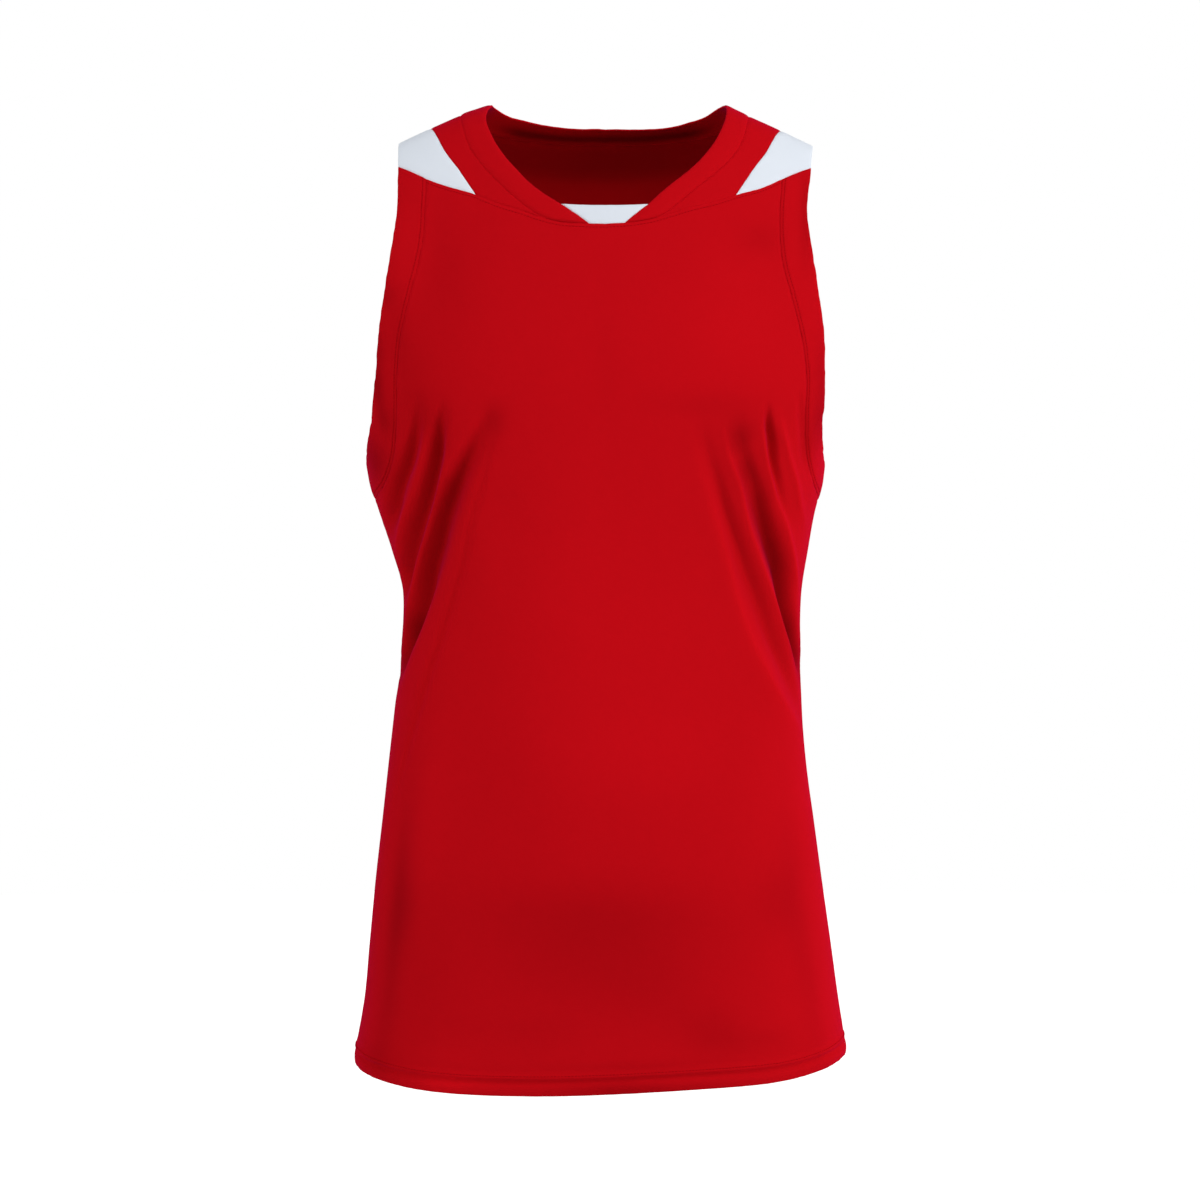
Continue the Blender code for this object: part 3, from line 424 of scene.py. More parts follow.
# Folds of the cloth. A negative depth is a soft trough and a positive one a ridge. Widths are in mm
# towards the arm and towards the middle; head and tail are the shares over which it comes and goes.
foldShape = {
    "steps": 48,  # points on each path
    "reach": 3.2,  # how many widths away a fold is still felt
    "sideHold": (0.35, 9.0),  # share of the depth that is left at the side, and how far in degrees
    "headWidth": 0.5,  # share of its width that a fold starts with, and what it gains on its way
    "widening": 0.7,
    "sharpness": {"trough": 2.0, "ridge": 1.7},  # exponent of the profile, where 2 is a bell
    # painted shade: the colour is darkened in a trough and lightened on a ridge, by this much for each mm
    "dark": 0.02,  # darker by, for each millimetre of depth
}
folds = [
    # wearer's right, front
    {"depth": -9.0, "arm": 7, "middle": 10, "head": 0.4, "tail": 0.3,
     "path": [(-45, -208), (-48, -242), (-53, -264), (-60, -285), (-67, -301), (-90, -322)]},
    {"depth": 2.0, "arm": 5, "middle": 5, "head": 0.3, "tail": 0.35,
     "path": [(-43, -232), (-47, -260), (-53, -290), (-64, -314), (-80, -340)]},
    {"depth": -11.5, "arm": 7.5, "middle": 10, "head": 0.25, "tail": 0.15,
     "path": [(-37, -216), (-40, -240), (-44, -268), (-48, -290), (-55.5, -313), (-69, -340),
              (-88, -368)]},
    {"depth": 2.2, "arm": 5, "middle": 4.5, "head": 0.3, "tail": 0.35,
     "path": [(-38, -244), (-41, -275), (-46, -298), (-52, -320), (-60, -343), (-70, -366),
              (-86, -392)]},
    # this trough has its own, stronger painted shade
    {"depth": -14.0, "arm": 8.5, "middle": 15.5, "head": 0.33, "tail": 0.2, "dark": 0.022,
     "path": [(-23, -216), (-27.5, -242), (-33, -264), (-38, -284), (-44.5, -308), (-51.5, -333),
              (-61, -358), (-70, -384), (-80, -409), (-97, -444)]},
    {"depth": 0.8, "arm": 7, "middle": 7, "head": 0.2, "tail": 0.45,
     "path": [(-27, -248), (-30, -273), (-34, -298), (-40, -328), (-45, -355), (-52, -386), (-56, -412),
              (-62, -440), (-74, -490)]},
    {"depth": -1.7, "arm": 3.5, "middle": 6, "head": 0.2, "tail": 0.5,
     "path": [(-25, -241), (-28, -267), (-31, -291), (-36, -318), (-40, -343), (-46, -371), (-51, -404),
              (-57, -440), (-66, -497), (-74, -567)]},
    # wearer's left, front
    {"depth": -1.6, "arm": 6, "middle": 6, "head": 0.3, "tail": 0.5,
     "path": [(50, -208), (55, -232), (62, -262), (72, -292)]},
    {"depth": 2.2, "arm": 6, "middle": 6.5, "head": 0.25, "tail": 0.45,
     "path": [(45, -226), (50, -248), (56, -271), (65, -301), (80, -327)]},
    {"depth": -6.5, "arm": 4.5, "middle": 5.5, "head": 0.25, "tail": 0.7,
     "path": [(41.5, -220), (43.5, -236), (46.5, -252), (50, -275), (54.5, -298), (63, -322)]},
    {"depth": 2.2, "arm": 5, "middle": 6, "head": 0.2, "tail": 0.3,
     "path": [(40, -232), (44, -257), (49, -284), (56, -308), (64.5, -335), (74, -362), (84, -390)]},
    # this trough has its own, much stronger painted shade
    {"depth": -11.0, "arm": 9.5, "middle": 14, "head": 0.48, "tail": 0.25, "dark": 0.046,
     "path": [(32, -220), (36, -252), (40.5, -275), (45.5, -298), (53.5, -328), (63.5, -358),
              (69, -381), (76.5, -404), (96, -442)]},
    {"depth": 2.8, "arm": 5, "middle": 7, "head": 0.15, "tail": 0.3,
     "path": [(29, -236), (33, -264), (38, -290), (44, -324), (51, -351), (59, -378), (67, -404),
              (86, -438)]},
    {"depth": -5.0, "arm": 8, "middle": 12, "head": 0.3, "tail": 0.35,
     "path": [(22, -222), (28, -266), (35, -309), (42, -343), (50, -374), (59, -409), (70, -440),
              (88, -476)]},
    {"depth": 3.0, "arm": 9, "middle": 16, "head": 0.35, "tail": 0.4,
     "path": [(20, -246), (27, -285), (34, -328), (39, -363), (44, -395), (51, -424), (60, -448),
              (77, -480), (90, -530)]},
    # back, wearer's right, from the shoulder blade down to the side
    {"depth": -7.0, "arm": 11, "middle": 12, "head": 0.25, "tail": 0.4,
     "path": [(-138, -188), (-133, -232), (-125, -276), (-112, -318), (-92, -352)]},
    {"depth": 2.0, "arm": 6, "middle": 10, "head": 0.35, "tail": 0.45,
     "path": [(-143, -210), (-137, -256), (-128, -300), (-114, -344), (-96, -378)]},
    {"depth": -9.0, "arm": 13, "middle": 12, "head": 0.25, "tail": 0.4,
     "path": [(-150, -204), (-145, -256), (-136, -308), (-122, -360), (-104, -408), (-90, -432)]},
    {"depth": 2.2, "arm": 6, "middle": 12, "head": 0.35, "tail": 0.4,
     "path": [(-153, -236), (-147, -290), (-138, -340), (-124, -392), (-106, -442)]},
    {"depth": -5.0, "arm": 13, "middle": 14, "head": 0.3, "tail": 0.45,
     "path": [(-158, -250), (-152, -310), (-143, -366), (-128, -424), (-112, -474), (-98, -516)]},
    {"depth": -2.2, "arm": 12, "middle": 16, "head": 0.4, "tail": 0.5,
     "path": [(-160, -330), (-154, -400), (-144, -470), (-132, -540), (-122, -610)]},
    # back, wearer's left
    {"depth": -7.4, "arm": 11, "middle": 12, "head": 0.25, "tail": 0.4,
     "path": [(140, -186), (134, -234), (126, -276), (112, -314), (92, -342)]},
    {"depth": 1.9, "arm": 6, "middle": 9, "head": 0.35, "tail": 0.45,
     "path": [(146, -206), (138, -256), (128, -298), (113, -338), (96, -366)]},
    {"depth": -8.4, "arm": 13, "middle": 12, "head": 0.25, "tail": 0.4,
     "path": [(152, -212), (146, -262), (137, -312), (122, -364), (104, -404), (90, -428)]},
    {"depth": 2.3, "arm": 7, "middle": 12, "head": 0.35, "tail": 0.4,
     "path": [(156, -240), (150, -300), (140, -352), (125, -404), (108, -448)]},
    {"depth": -4.6, "arm": 13, "middle": 14, "head": 0.3, "tail": 0.45,
     "path": [(160, -262), (154, -322), (144, -378), (130, -436), (114, -486), (100, -526)]},
    {"depth": -2.0, "arm": 12, "middle": 18, "head": 0.4, "tail": 0.5,
     "path": [(166, -350), (158, -420), (148, -490), (138, -560), (128, -626)]},
    # small of the back
    {"depth": -2.6, "arm": 15, "middle": 18, "head": 0.45, "tail": 0.45,
     "path": [(-166, -352), (-174, -386), (-184, -404), (-196, -410)]},
    {"depth": -2.2, "arm": 16, "middle": 18, "head": 0.45, "tail": 0.45,
     "path": [(162, -392), (172, -426), (182, -444), (194, -452)]},
]


# Sum of the folds, in mm, or of each one's painted shade for each mm.
def foldTotal(turn, height, shareOf):
    radius = bodyForm["clothRadius"]
    across = turn * radius
    total = np.zeros_like(across + height)
    for fold in folds:
        path = np.array(fold["path"], float)
        path[:, 0] = np.radians(path[:, 0]) * radius
        steps = lengthsAlong(path)
        fine = np.linspace(0, steps[-1], foldShape["steps"])
        path = np.stack([smoothCurve(steps, column, fine) for column in path.T], axis=1)
        width = max(fold["arm"], fold["middle"])
        reach = foldShape["reach"] * width
        for shift in (0, 2 * np.pi * radius, -2 * np.pi * radius):
            here = (across + shift > path[:, 0].min() - reach) & (across + shift < path[:, 0].max() + reach)
            here &= (height > path[:, 1].min() - reach) & (height < path[:, 1].max() + reach)
            if not here.any():
                continue
            total[here] += shareOf(fold) * foldValue(fold, path, across[here] + shift, height[here])
    return total


# The side outline is in the sections already, so folds are held back there.
def foldDepth(turn, height):
    left, wide = foldShape["sideHold"]
    off = (np.abs(np.degrees(turn)) - 90) / wide
    return foldTotal(turn, height, lambda fold: 1.0) * (1 - (1 - left) * np.exp(-(off**2)))


# Height of one fold, from the nearest place on its path.
def foldValue(fold, path, across, height):
    best = np.full_like(across, np.inf)
    along = np.zeros_like(across)
    side = np.zeros_like(across)
    handed = 1 if path[:, 0].mean() > 0 else -1
    if abs(path[:, 0].mean()) > bodyForm["clothRadius"] * np.pi / 2:
        handed = -handed
    count = len(path) - 1
    for i in range(count):
        step = path[i + 1] - path[i]
        pa = across - path[i, 0]
        ph = height - path[i, 1]
        place = np.clip((pa * step[0] + ph * step[1]) / (step @ step), 0, 1)
        distance = np.hypot(pa - place * step[0], ph - place * step[1])
        nearer = distance < best
        best = np.where(nearer, distance, best)
        along = np.where(nearer, (i + place) / count, along)
        side = np.where(nearer, handed * (step[0] * ph - step[1] * pa), side)
    swell = smoothStep(0, fold["head"], along) * smoothStep(0, fold["tail"], 1 - along)
    width = np.where(side > 0, fold["arm"], fold["middle"])
    width = width * (foldShape["headWidth"] + foldShape["widening"] * along)
    sharp = foldShape["sharpness"]["trough" if fold["depth"] < 0 else "ridge"]
    return fold["depth"] * swell * np.exp(-((best / width) ** sharp))


# Broad soft hollows and swells that make the cloth hang less evenly: turn, height, spreads, depth.
swells = [
    (0, -450, 42, 100, 4.5),
    (4, -645, 44, 52, -3.0),
    (-62, -585, 8, 95, -2.2),
    (-40, -600, 12, 120, 1.2),
    (34, -690, 10, 36, -1.4),
    (44, -640, 9, 60, 1.0),
    (16, -560, 14, 70, 0.9),
    (-14, -300, 14, 80, 0.8),
    (60, -560, 9, 90, -1.2),
    (78, -600, 8, 90, 1.0),
    (-80, -560, 8, 90, 1.2),
    (150, -620, 12, 90, -2.2),
    (-150, -640, 13, 80, -2.0),
    (176, -600, 16, 110, 1.6),
    (118, -640, 11, 90, 1.4),
    (-116, -610, 11, 90, 1.6),
    (180, -250, 22, 70, -1.0),
]


def softPatches(rows, turn, height):
    total = np.zeros_like(turn + height)
    for centre, level, wide, tall, amount in rows:
        off = (np.degrees(turn) - centre + 180) % 360 - 180
        total += amount * np.exp(-((off / wide) ** 2) - ((height - level) / tall) ** 2)
    return total


# Painted shade: soft patches where the knit is painted darker, and painted light where the amount is below
# zero.
paintedShadePatches = [  # turn, height, spreads, darker by
    (-6, -385, 32, 125, -0.11),
    (-30, -322, 6, 45, -0.06),
    (-42, -470, 10, 110, -0.05),
    (-50, -530, 8, 70, -0.09),
    (11, -492, 20, 38, -0.05),
    (36.5, -250, 4.5, 12, 0.2),
    (1, -640, 30, 44, 0.16),
    (-2, -608, 34, 22, 0.07),
    (14, -674, 12, 26, 0.06),
    (27, -699, 9, 20, 0.13),
    (39, -706, 11, 10, 0.07),
    (-62.5, -610, 5, 58, 0.26),
    (-62, -695, 6, 36, 0.1),
    (-38, -722, 12, 16, -0.07),
    (50, -603, 8, 24, 0.09),
    (40, -275, 3.5, 13, 0.14),
    (58, -598, 7, 68, 0.1),
    (61, -680, 5, 55, 0.06),
    (-16, -697, 14, 14, 0.05),
    (-56, -608, 4.5, 28, 0.12),
    (-64, -725, 8, 14, 0.1),
    (8, -724, 16, 4, 0.07),
    (6, -741, 17, 7, 0.24),
    (30, -739, 12, 7, 0.06),
    (-38, -740, 10, 8, -0.18),
    (-76, -398, 7, 17, 0.25),
    (-86, -422, 6, 14, 0.15),
    (-35, -126, 7, 42, 0.07),
    (-49, -100, 7, 42, -0.11),
    (-60.5, -183, 3.5, 17, 0.24),
    (-47, -204, 6, 32, 0.07),
    (63.5, -226, 4, 30, 0.2),
    (60, -194, 4, 28, 0.12),
    (68.5, -240, 4, 18, 0.16),
    (32, -240, 9, 20, 0.05),
    (56.5, -343, 3.5, 15, 0.08),
    (61, -360, 3, 16, 0.15),
    (64.5, -381, 3.4, 15, 0.22),
    (74, -402, 6.5, 15, 0.24),
    (83, -419, 6, 13, 0.2),
    (52, -76, 2.5, 36, 0.2),
    (38, -97, 6, 13, 0.09),
    (2, -190, 3, 45, 0.03),
    (33, -165, 13, 50, -0.04),
    (24, -226, 12, 9, 0.06),
    (-60.5, -209, 3, 12, 0.3),
    (-60, -236, 3.5, 11, 0.24),
    (-71, -266, 9, 19, 0.32),
    (-44, -236, 6, 18, 0.1),
    (-25, -238, 3, 13, 0.13),
    (-60.5, -221, 3, 8, 0.1),
    (-55, -140, 3.5, 11, 0.12),
    (-50.5, -170, 3, 30, 0.09),
]


# Painted shade in the fold troughs and painted light on their ridges, with the painted shade and light of
# the soft patches.
def paintedShadeAndLight(turn, height):
    folded = foldTotal(turn, height, lambda fold: fold.get("dark", foldShape["dark"]))
    return softPatches(paintedShadePatches, turn, height) - folded


# Painted shade beside a seam of each kind: how much darker the cloth is painted there, and how far from it.
# Below zero it is painted light.
seamShade = {"seam": -0.02, "border": 0.16, "band": 0.05, "reach": 1.3}


# painted shade, and painted light, beside the listed edges
def paintedSeamShade(distances, edges):
    near = {edge: np.exp(-((distances[edge] / seamShade["reach"]) ** 2)) for edge in edges}
    return sum(seamShade[kind] * near[edge] for edge, kind in edges.items())


# Unit normals of a surface, felt a step to each side.
def normalsOf(surface, first, second, steps):
    along = surface(first + steps[0], second) - surface(first - steps[0], second)
    up = surface(first, second + steps[1]) - surface(first, second - steps[1])
    normal = np.cross(along, up)
    return normal / np.linalg.norm(normal, axis=-1, keepdims=True)


# The body surface with its folds and swells, and the plain shoulder, with normals that point outwards.
def bodyCloth(turn, height):
    normal = normalsOf(bodySurface, turn, height, bodyForm["bodySteps"])
    points = bodySurface(turn, height)
    normal = normal * np.sign(np.sum(normal[..., :2] * points[..., :2], axis=-1, keepdims=True))
    depth = foldDepth(turn, height) + softPatches(swells, turn, height)
    return points + normal * depth[..., None], normal


def shoulderCloth(x, over):
    normal = normalsOf(shoulderSurface, x, over, bodyForm["shoulderSteps"])
    return shoulderSurface(x, over), normal * np.where(normal[..., 2:] < 0, -1, 1)


# Distance of each grid point from the four edges, along the cloth.
def edgeDistances(points):
    rows = np.linalg.norm(np.diff(points, axis=0), axis=2)
    columns = np.linalg.norm(np.diff(points, axis=1), axis=2)
    up = np.concatenate([np.zeros((1, points.shape[1])), np.cumsum(rows, axis=0)])
    over = np.concatenate([np.zeros((points.shape[0], 1)), np.cumsum(columns, axis=1)], axis=1)
    return {"firstRow": up, "lastRow": up[-1] - up, "firstColumn": over, "lastColumn": over[:, -1:] - over}


# Height of the cloth beside an edge: pulled down into the seam, grooved where it is stitched, puckered.
edgeShape = {
    "roll": 0.45,
    "rollWidth": 1.7,
    "pucker": 0.12,
    "puckerReach": 7.0,
    "puckerWaves": (34, 7, 7),  # longest, shortest, how many
    "puckerStrength": (0.4, 1.0),
}
edgeLines = {
    "firstRow": np.s_[:1],
    "lastRow": np.s_[-1:],
    "firstColumn": np.s_[:, :1],
    "lastColumn": np.s_[:, -1:],
}


def softNoise(along, seed):
    longest, shortest, count = edgeShape["puckerWaves"]
    dice = np.random.default_rng(seed)
    total = np.zeros_like(along)
    for length in np.geomspace(longest, shortest, count):
        wave = np.sin(2 * np.pi * (along / length + dice.random()))
        total += wave * dice.uniform(*edgeShape["puckerStrength"])
    return total / np.sqrt(count / 2)


def edgeRelief(
    distances, edge, seed, roll=1.0, grooves=(), pucker=edgeShape["pucker"], width=edgeShape["rollWidth"]
):
    away = distances[edge]
    line = distances["firstRow" if "Column" in edge else "firstColumn"][edgeLines[edge]]
    relief = -roll * edgeShape["roll"] * np.exp(-((away / width) ** 2))
    for at, depth, reach in grooves:
        relief = relief - depth * np.exp(-(((away - at) / reach) ** 2))
    noise = softNoise(line + 0 * away, seed)
    return relief + pucker * noise * np.exp(-((away / edgeShape["puckerReach"]) ** 2))


# The relief beside the edges that a piece lists, each with its own seed.
def edgesRelief(distances, seed, edges):
    seeds = {edge: seed + i for i, edge in enumerate(edgeLines)}
    return sum(edgeRelief(distances, edge, seeds[edge], **own) for edge, own in edges.items())


# How thick the cloth is, once and folded double.
walls = {
    "single": 1.2,
    "doubled": 2.0,
    "crown": 0.5,  # how much fuller a doubled strip is in its middle, and the exponent of that curve
    "crownPower": 0.7,
}
rim = {
    "share": 0.5,  # how far the rounding reaches, as a share of half the wall
    "overlap": 0.12,  # how far neighbours pass into each other, so that no light shows through a seam
    "steps": 5,
    "cornerLimit": 0.3,  # at a sharp corner the move inwards is at most one over this
}


def crownOf(across):
    return walls["crown"] * np.sin(np.pi * across) ** walls["crownPower"]


# Row and column of each point round the edge of a grid.
def edgeRing(rows, columns):
    ring = [(0, c) for c in range(columns - 1)]
    ring += [(r, columns - 1) for r in range(rows - 1)]
    ring += [(rows - 1, c) for c in range(columns - 1, 0, -1)]
    ring += [(r, 0) for r in range(rows - 1, 0, -1)]
    return np.array(ring)


def innerNeighbours(points, ring):
    rows, columns = points.shape[:2]
    return points[np.clip(ring[:, 0], 1, rows - 2), np.clip(ring[:, 1], 1, columns - 2)]


# Unit moves into the cloth from each point of its edge, longer at corners.
def movesInward(points, normals, ring):
    border = points[ring[:, 0], ring[:, 1]]
    ahead = np.roll(border, -1, axis=0) - border
    ahead /= np.linalg.norm(ahead, axis=1, keepdims=True)
    side = np.cross(normals[ring[:, 0], ring[:, 1]], ahead)
    if np.median(np.sum(side * (innerNeighbours(points, ring) - border), axis=1)) < 0:
        side = -side
    middle = side + np.roll(side, 1, axis=0)
    middle /= np.linalg.norm(middle, axis=1, keepdims=True)
    return middle / np.clip(np.sum(middle * side, axis=1), rim["cornerLimit"], 1)[:, None]


def gridQuads(grid):
    corners = [grid[:-1, :-1], grid[:-1, 1:], grid[1:, 1:], grid[1:, :-1]]
    return np.stack(corners, -1).reshape(-1, 4)


# Faces of the outside, the rim, the inside and the triangles that sew the rim to the inside.
def shellFaces(rows, columns, ring):
    grid = np.arange(rows * columns).reshape(rows, columns)
    loops = [grid[ring[:, 0], ring[:, 1]]]
    loops += [grid.size + step * len(ring) + np.arange(len(ring)) for step in range(rim["steps"] - 1)]
    inside = grid[::2, ::2]
    inside = loops[-1][-1] + 1 + np.arange(inside.size).reshape(inside.shape)
    groups = [gridQuads(grid)]
    for low, high in zip(loops, loops[1:]):
        groups.append(np.stack([low, high, np.roll(high, -1), np.roll(low, -1)], -1))
    groups.append(gridQuads(inside.T))
    a, b, c = loops[-1][::2], loops[-1][1::2], np.roll(loops[-1], -2)[::2]
    d = inside[tuple(edgeRing(*inside.shape).T)]
    e = np.roll(d, -1)
    groups += [np.stack(corners, -1) for corners in ((a, d, b), (b, d, e), (b, e, c))]
    return [list(map(int, face)) for group in groups for face in group]


def facesPointIn(outer, normals):
    r, c = outer.shape[0] // 2, outer.shape[1] // 2
    face = np.cross(outer[r, c + 1] - outer[r, c], outer[r + 1, c] - outer[r, c])
    return face @ normals[r, c] < 0


# Values of the outside, the rim and the inside, in the order of a shell's vertices.
def overShell(values, insideValues, ring):
    size = values.shape[2:]
    rims = [values[ring[:, 0], ring[:, 1]]] * (rim["steps"] - 1)
    return np.concatenate([values.reshape(-1, *size), *rims, insideValues[::2, ::2].reshape(-1, *size)])


def addValue(mesh, name, values):
    attribute = mesh.attributes.new(name, "FLOAT", "POINT")
    attribute.data.foreach_set("value", values.astype(np.float32))


# UV in centimetres of cloth, so that the knit has the same size on every piece.
def addClothMap(mesh, points, ring):
    distances = edgeDistances(points)
    across = distances["firstColumn"] - distances["firstColumn"][:, -1:] / 2
    flat = np.stack([across, distances["firstRow"]], axis=-1) / 10
    flat = overShell(flat, flat, ring)
    corner = np.zeros(len(mesh.loops), int)
    mesh.loops.foreach_get("vertex_index", corner)
    layer = mesh.uv_layers.new(name="clothMap")
    layer.data.foreach_set("uv", flat[corner].astype(np.float32).ravel())


# A closed shell of cloth with a rounded rim. The inside has half the rows and columns. Its tones are
# painted shade, and painted light where below zero.
def clothShell(name, points, normals, relief, wall, tone=0.0, insidePaintedShade=0.0):
    points = points + normals * relief[..., None]
    rows, columns = points.shape[:2]
    wall, tone, insidePaintedShade = (np.broadcast_to(value, (rows, columns)) for value in (wall, tone, insidePaintedShade))
    ring = edgeRing(rows, columns)
    onRim = (ring[:, 0], ring[:, 1])
    inward = movesInward(points, normals, ring)
    half = wall[onRim][:, None] / 2
    moved = points.copy()
    moved[onRim] += inward * (half * rim["share"] - rim["overlap"])
    outer = moved + normals * ((wall - walls["single"]) / 2)[..., None]
    inner = outer - normals * wall[..., None]
    centre = outer[onRim] - normals[onRim] * half
    vertices = [outer.reshape(-1, 3)]
    for step in range(1, rim["steps"]):
        angle = np.pi * step / rim["steps"]
        out = normals[onRim] * np.cos(angle) - inward * rim["share"] * np.sin(angle)
        vertices.append(centre + half * out)
    vertices.append(inner[::2, ::2].reshape(-1, 3))
    faces = shellFaces(rows, columns, ring)
    if facesPointIn(outer, normals):
        faces = [face[::-1] for face in faces]
    mesh = bpy.data.meshes.new(name)
    mesh.from_pydata((np.concatenate(vertices) * mm).tolist(), [], faces)
    mesh.validate()
    mesh.shade_smooth()
    addClothMap(mesh, points, ring)
    addValue(mesh, "reverseSide", overShell(np.zeros_like(tone), np.ones_like(tone), ring))
    # painted shade and painted light for the outside and the inside of the shell
    addValue(mesh, "paintedShadeAndLight", overShell(tone, insidePaintedShade, ring))
    return addObject(name, mesh), outer


# A line on the finished cloth at a distance from its first or last row, with the normals under it.
def lineOnCloth(outer, normals, distances, edge, at):
    both = np.concatenate([outer, normals], axis=-1)
    away = distances[edge]
    if edge == "lastRow":
        both, away = both[::-1], away[::-1]
    columns = range(away.shape[1])
    return np.array([[np.interp(at, away[:, c], both[:, c, i]) for i in range(6)] for c in columns])


stitchLines = {}

hem = {
    "wall": 2.4,
    "turnUp": 14.4,  # where the doubled cloth ends, and how softly
    "step": 1.6,
    "stitchLine": 14.9,
    "edge": {
        "roll": 0,
        # at, depth, width
        "grooves": [(14.0, -0.6, 1.3), (10.0, 1.7, 2.5), (19.5, 0.35, 2.0), (4.0, -0.6, 4.0)],
        "pucker": 0.2,
    },
    "sideHold": (0.7, 26.0),  # how much weaker that relief is beside the side seams, and how far
}
panel = {
    "stations": 111,
    "stationCrowding": 0.2,
    "rowsBelow": 177,
    "rowCrowding": 0.35,
    "hemRows": [0, 1.6, 3.2, 4.8, 6.4, 7.8, 9, 10, 11, 12, 13, 13.8, 14.6, 15.6, 17, 19, 21.6],
    "sag": (40.0, 5),  # how far the rows hang between the underarms, and the exponent of their curve
    "topPower": 3,
    "sideEdge": {"pucker": 0.16},
    # edges with painted seam shade, and the kind of each
    "paintedSeamEdges": {"lastRow": "seam", "firstColumn": "band", "lastColumn": "band"},
}
frontPanel = {
    "columns": 251,
    "topGroove": (3.1, 0.22, 0.9),  # beside the yoke seam: at, depth, width
    "seed": 11,
    "sheet": ((0.51, 0.67), 0.279, "hung"),  # flat size in metres, cut area in square metres, held
}
backPanel = {
    "shoulderColumns": 22,
    # painted shade inside the back under the collar, and painted light further down
    "insideShade": (22.0, 38.0, 0.26, -0.13),  # from, to, darker by at the top and below
    "seed": 31,
    "sheet": ((0.51, 0.76), 0.299, "hung"),
}


def lowShares():
    height = seams["underarmSeam"] - min(row[1] for row in seams["hem"])
    near = np.array(panel["hemRows"]) / height
    even = np.linspace(0, 1, panel["rowsBelow"])[1:]
    even = even + panel["rowCrowding"] * np.sin(np.pi * even) / np.pi
    return np.concatenate([near, near[-1] + (1 - near[-1]) * even])


# Turns and heights of a body panel from the hem up. The rows sag between the sides near the underarm.
def panelGrid(firstSeam, lastSeam, topEdge, lowShare, topShare):
    sag, sagPower = panel["sag"]
    u = np.linspace(-1, 1, len(lowShare))
    sideWeight = np.abs(u) ** sagPower
    turnFirst, turnLast = firstSeam[-1, 0], lastSeam[-1, 0]
    lowTurn = turnFirst + (turnLast - turnFirst) * lowShare
    bend = seams["underarmSeam"] - sag
    turns = []
    heights = []
    for part in lowShares():
        base = hemHeight(lowTurn)
        sideBase = np.where(u < 0, base[0], base[-1])
        side = sideBase + (seams["underarmSeam"] - sideBase) * part
        middle = base + (bend - base) * part
        turns.append(lowTurn)
        heights.append(middle + (side - middle) * sideWeight)
    last = len(firstSeam) - 1
    topTurn = firstSeam[0, 0] + (lastSeam[0, 0] - firstSeam[0, 0]) * topShare
    topMiddle = topEdge((turnFirst + turnLast) / 2)
    topPlain = topMiddle + (np.where(u < 0, firstSeam[0, 1], lastSeam[0, 1]) - topMiddle) * sideWeight
    topChange = topEdge(topTurn) - topPlain
    for i in range(last - 1, -1, -1):
        v = 1 - i / last
        share = lowShare + (topShare - lowShare) * v
        middle = bend + (topMiddle - bend) * v
        side = np.where(u < 0, firstSeam[i, 1], lastSeam[i, 1])
        turns.append(firstSeam[i, 0] + (lastSeam[i, 0] - firstSeam[i, 0]) * share)
        heights.append(middle + (side - middle) * sideWeight + v ** panel["topPower"] * topChange)
    return np.array(turns), np.array(heights)


def panelSides(isFront):
    stations = closeEnds(panel["stations"], panel["stationCrowding"])
    rows, last = seams["bandSeam"], seams["underarmSeam"]
    return [armholeLine(rows, hand, last, stations, isFront) for hand in ("left", "right")]


def panelRelief(distances, seed, topEdge):
    hold, reach = hem["sideHold"]
    toSide = np.minimum(distances["firstColumn"], distances["lastColumn"]) / reach
    relief = edgesRelief(distances, seed, {"firstRow": hem["edge"]}) * (1 - hold * np.exp(-(toSide**2)))
    others = {"lastRow": topEdge, "firstColumn": panel["sideEdge"], "lastColumn": panel["sideEdge"]}
    return relief + edgesRelief(distances, seed, others)


def panelPiece(name, turn, height, seed, topEdge, inside):
    points, normals = bodyCloth(turn, height)
    distances = edgeDistances(points)
    thick = smoothStep(hem["turnUp"] + hem["step"], hem["turnUp"] - hem["step"], distances["firstRow"])
    wall = walls["single"] + (hem["wall"] - walls["single"]) * thick
    tone = paintedShadeAndLight(turn, height) + paintedSeamShade(distances, panel["paintedSeamEdges"])
    relief = panelRelief(distances, seed, topEdge)
    piece, outer = clothShell(name, points, normals, relief, wall, tone, inside(distances["lastRow"]))
    return piece, (outer, normals, distances)


def makeFrontPanel():
    shares = closeEnds(frontPanel["columns"])
    turn, height = panelGrid(*panelSides(True), yokeEdge, shares, shares)
    topEdge = {"grooves": [frontPanel["topGroove"]]}
    piece, cloth = panelPiece("frontCloth", turn, height, frontPanel["seed"], topEdge, lambda fromTop: 0.0)
    stitchLines["hemFront"] = lineOnCloth(*cloth, "firstRow", hem["stitchLine"])
    stitchLines["yokeSeam"] = lineOnCloth(*cloth, "lastRow", frontPanel["topGroove"][0])
    return piece


# Top edge of the back panel from right to left: shoulder seam, collar seam, shoulder seam.
def backTopLine():
    halves = []
    for hand, sign in (("right", 1), ("left", -1)):
        half = collarHalf("outer", sign, frontShares, backShares)[collar["frontSteps"] :]
        turn, height = lineTop(seams["bandSeam"], hand, False)
        corner = halfWidth(turn, height) * np.sin(turn)
        shoulder = seamRun(corner, half[0, 0], backPanel["shoulderColumns"] + 1)
        halves.append(np.concatenate([shoulder[:-1], half]))
    line = np.concatenate([halves[0], halves[1][::-1][1:]])
    points = shoulderSurface(line[:, 0], line[:, 1])
    turn = turnOf(points[:, 0], points[:, 2])
    turn = np.where(points[:, 1] > 0, np.sign(turn) * np.pi - turn, turn)
    return np.where(turn < 0, turn + 2 * np.pi, turn), points[:, 2]


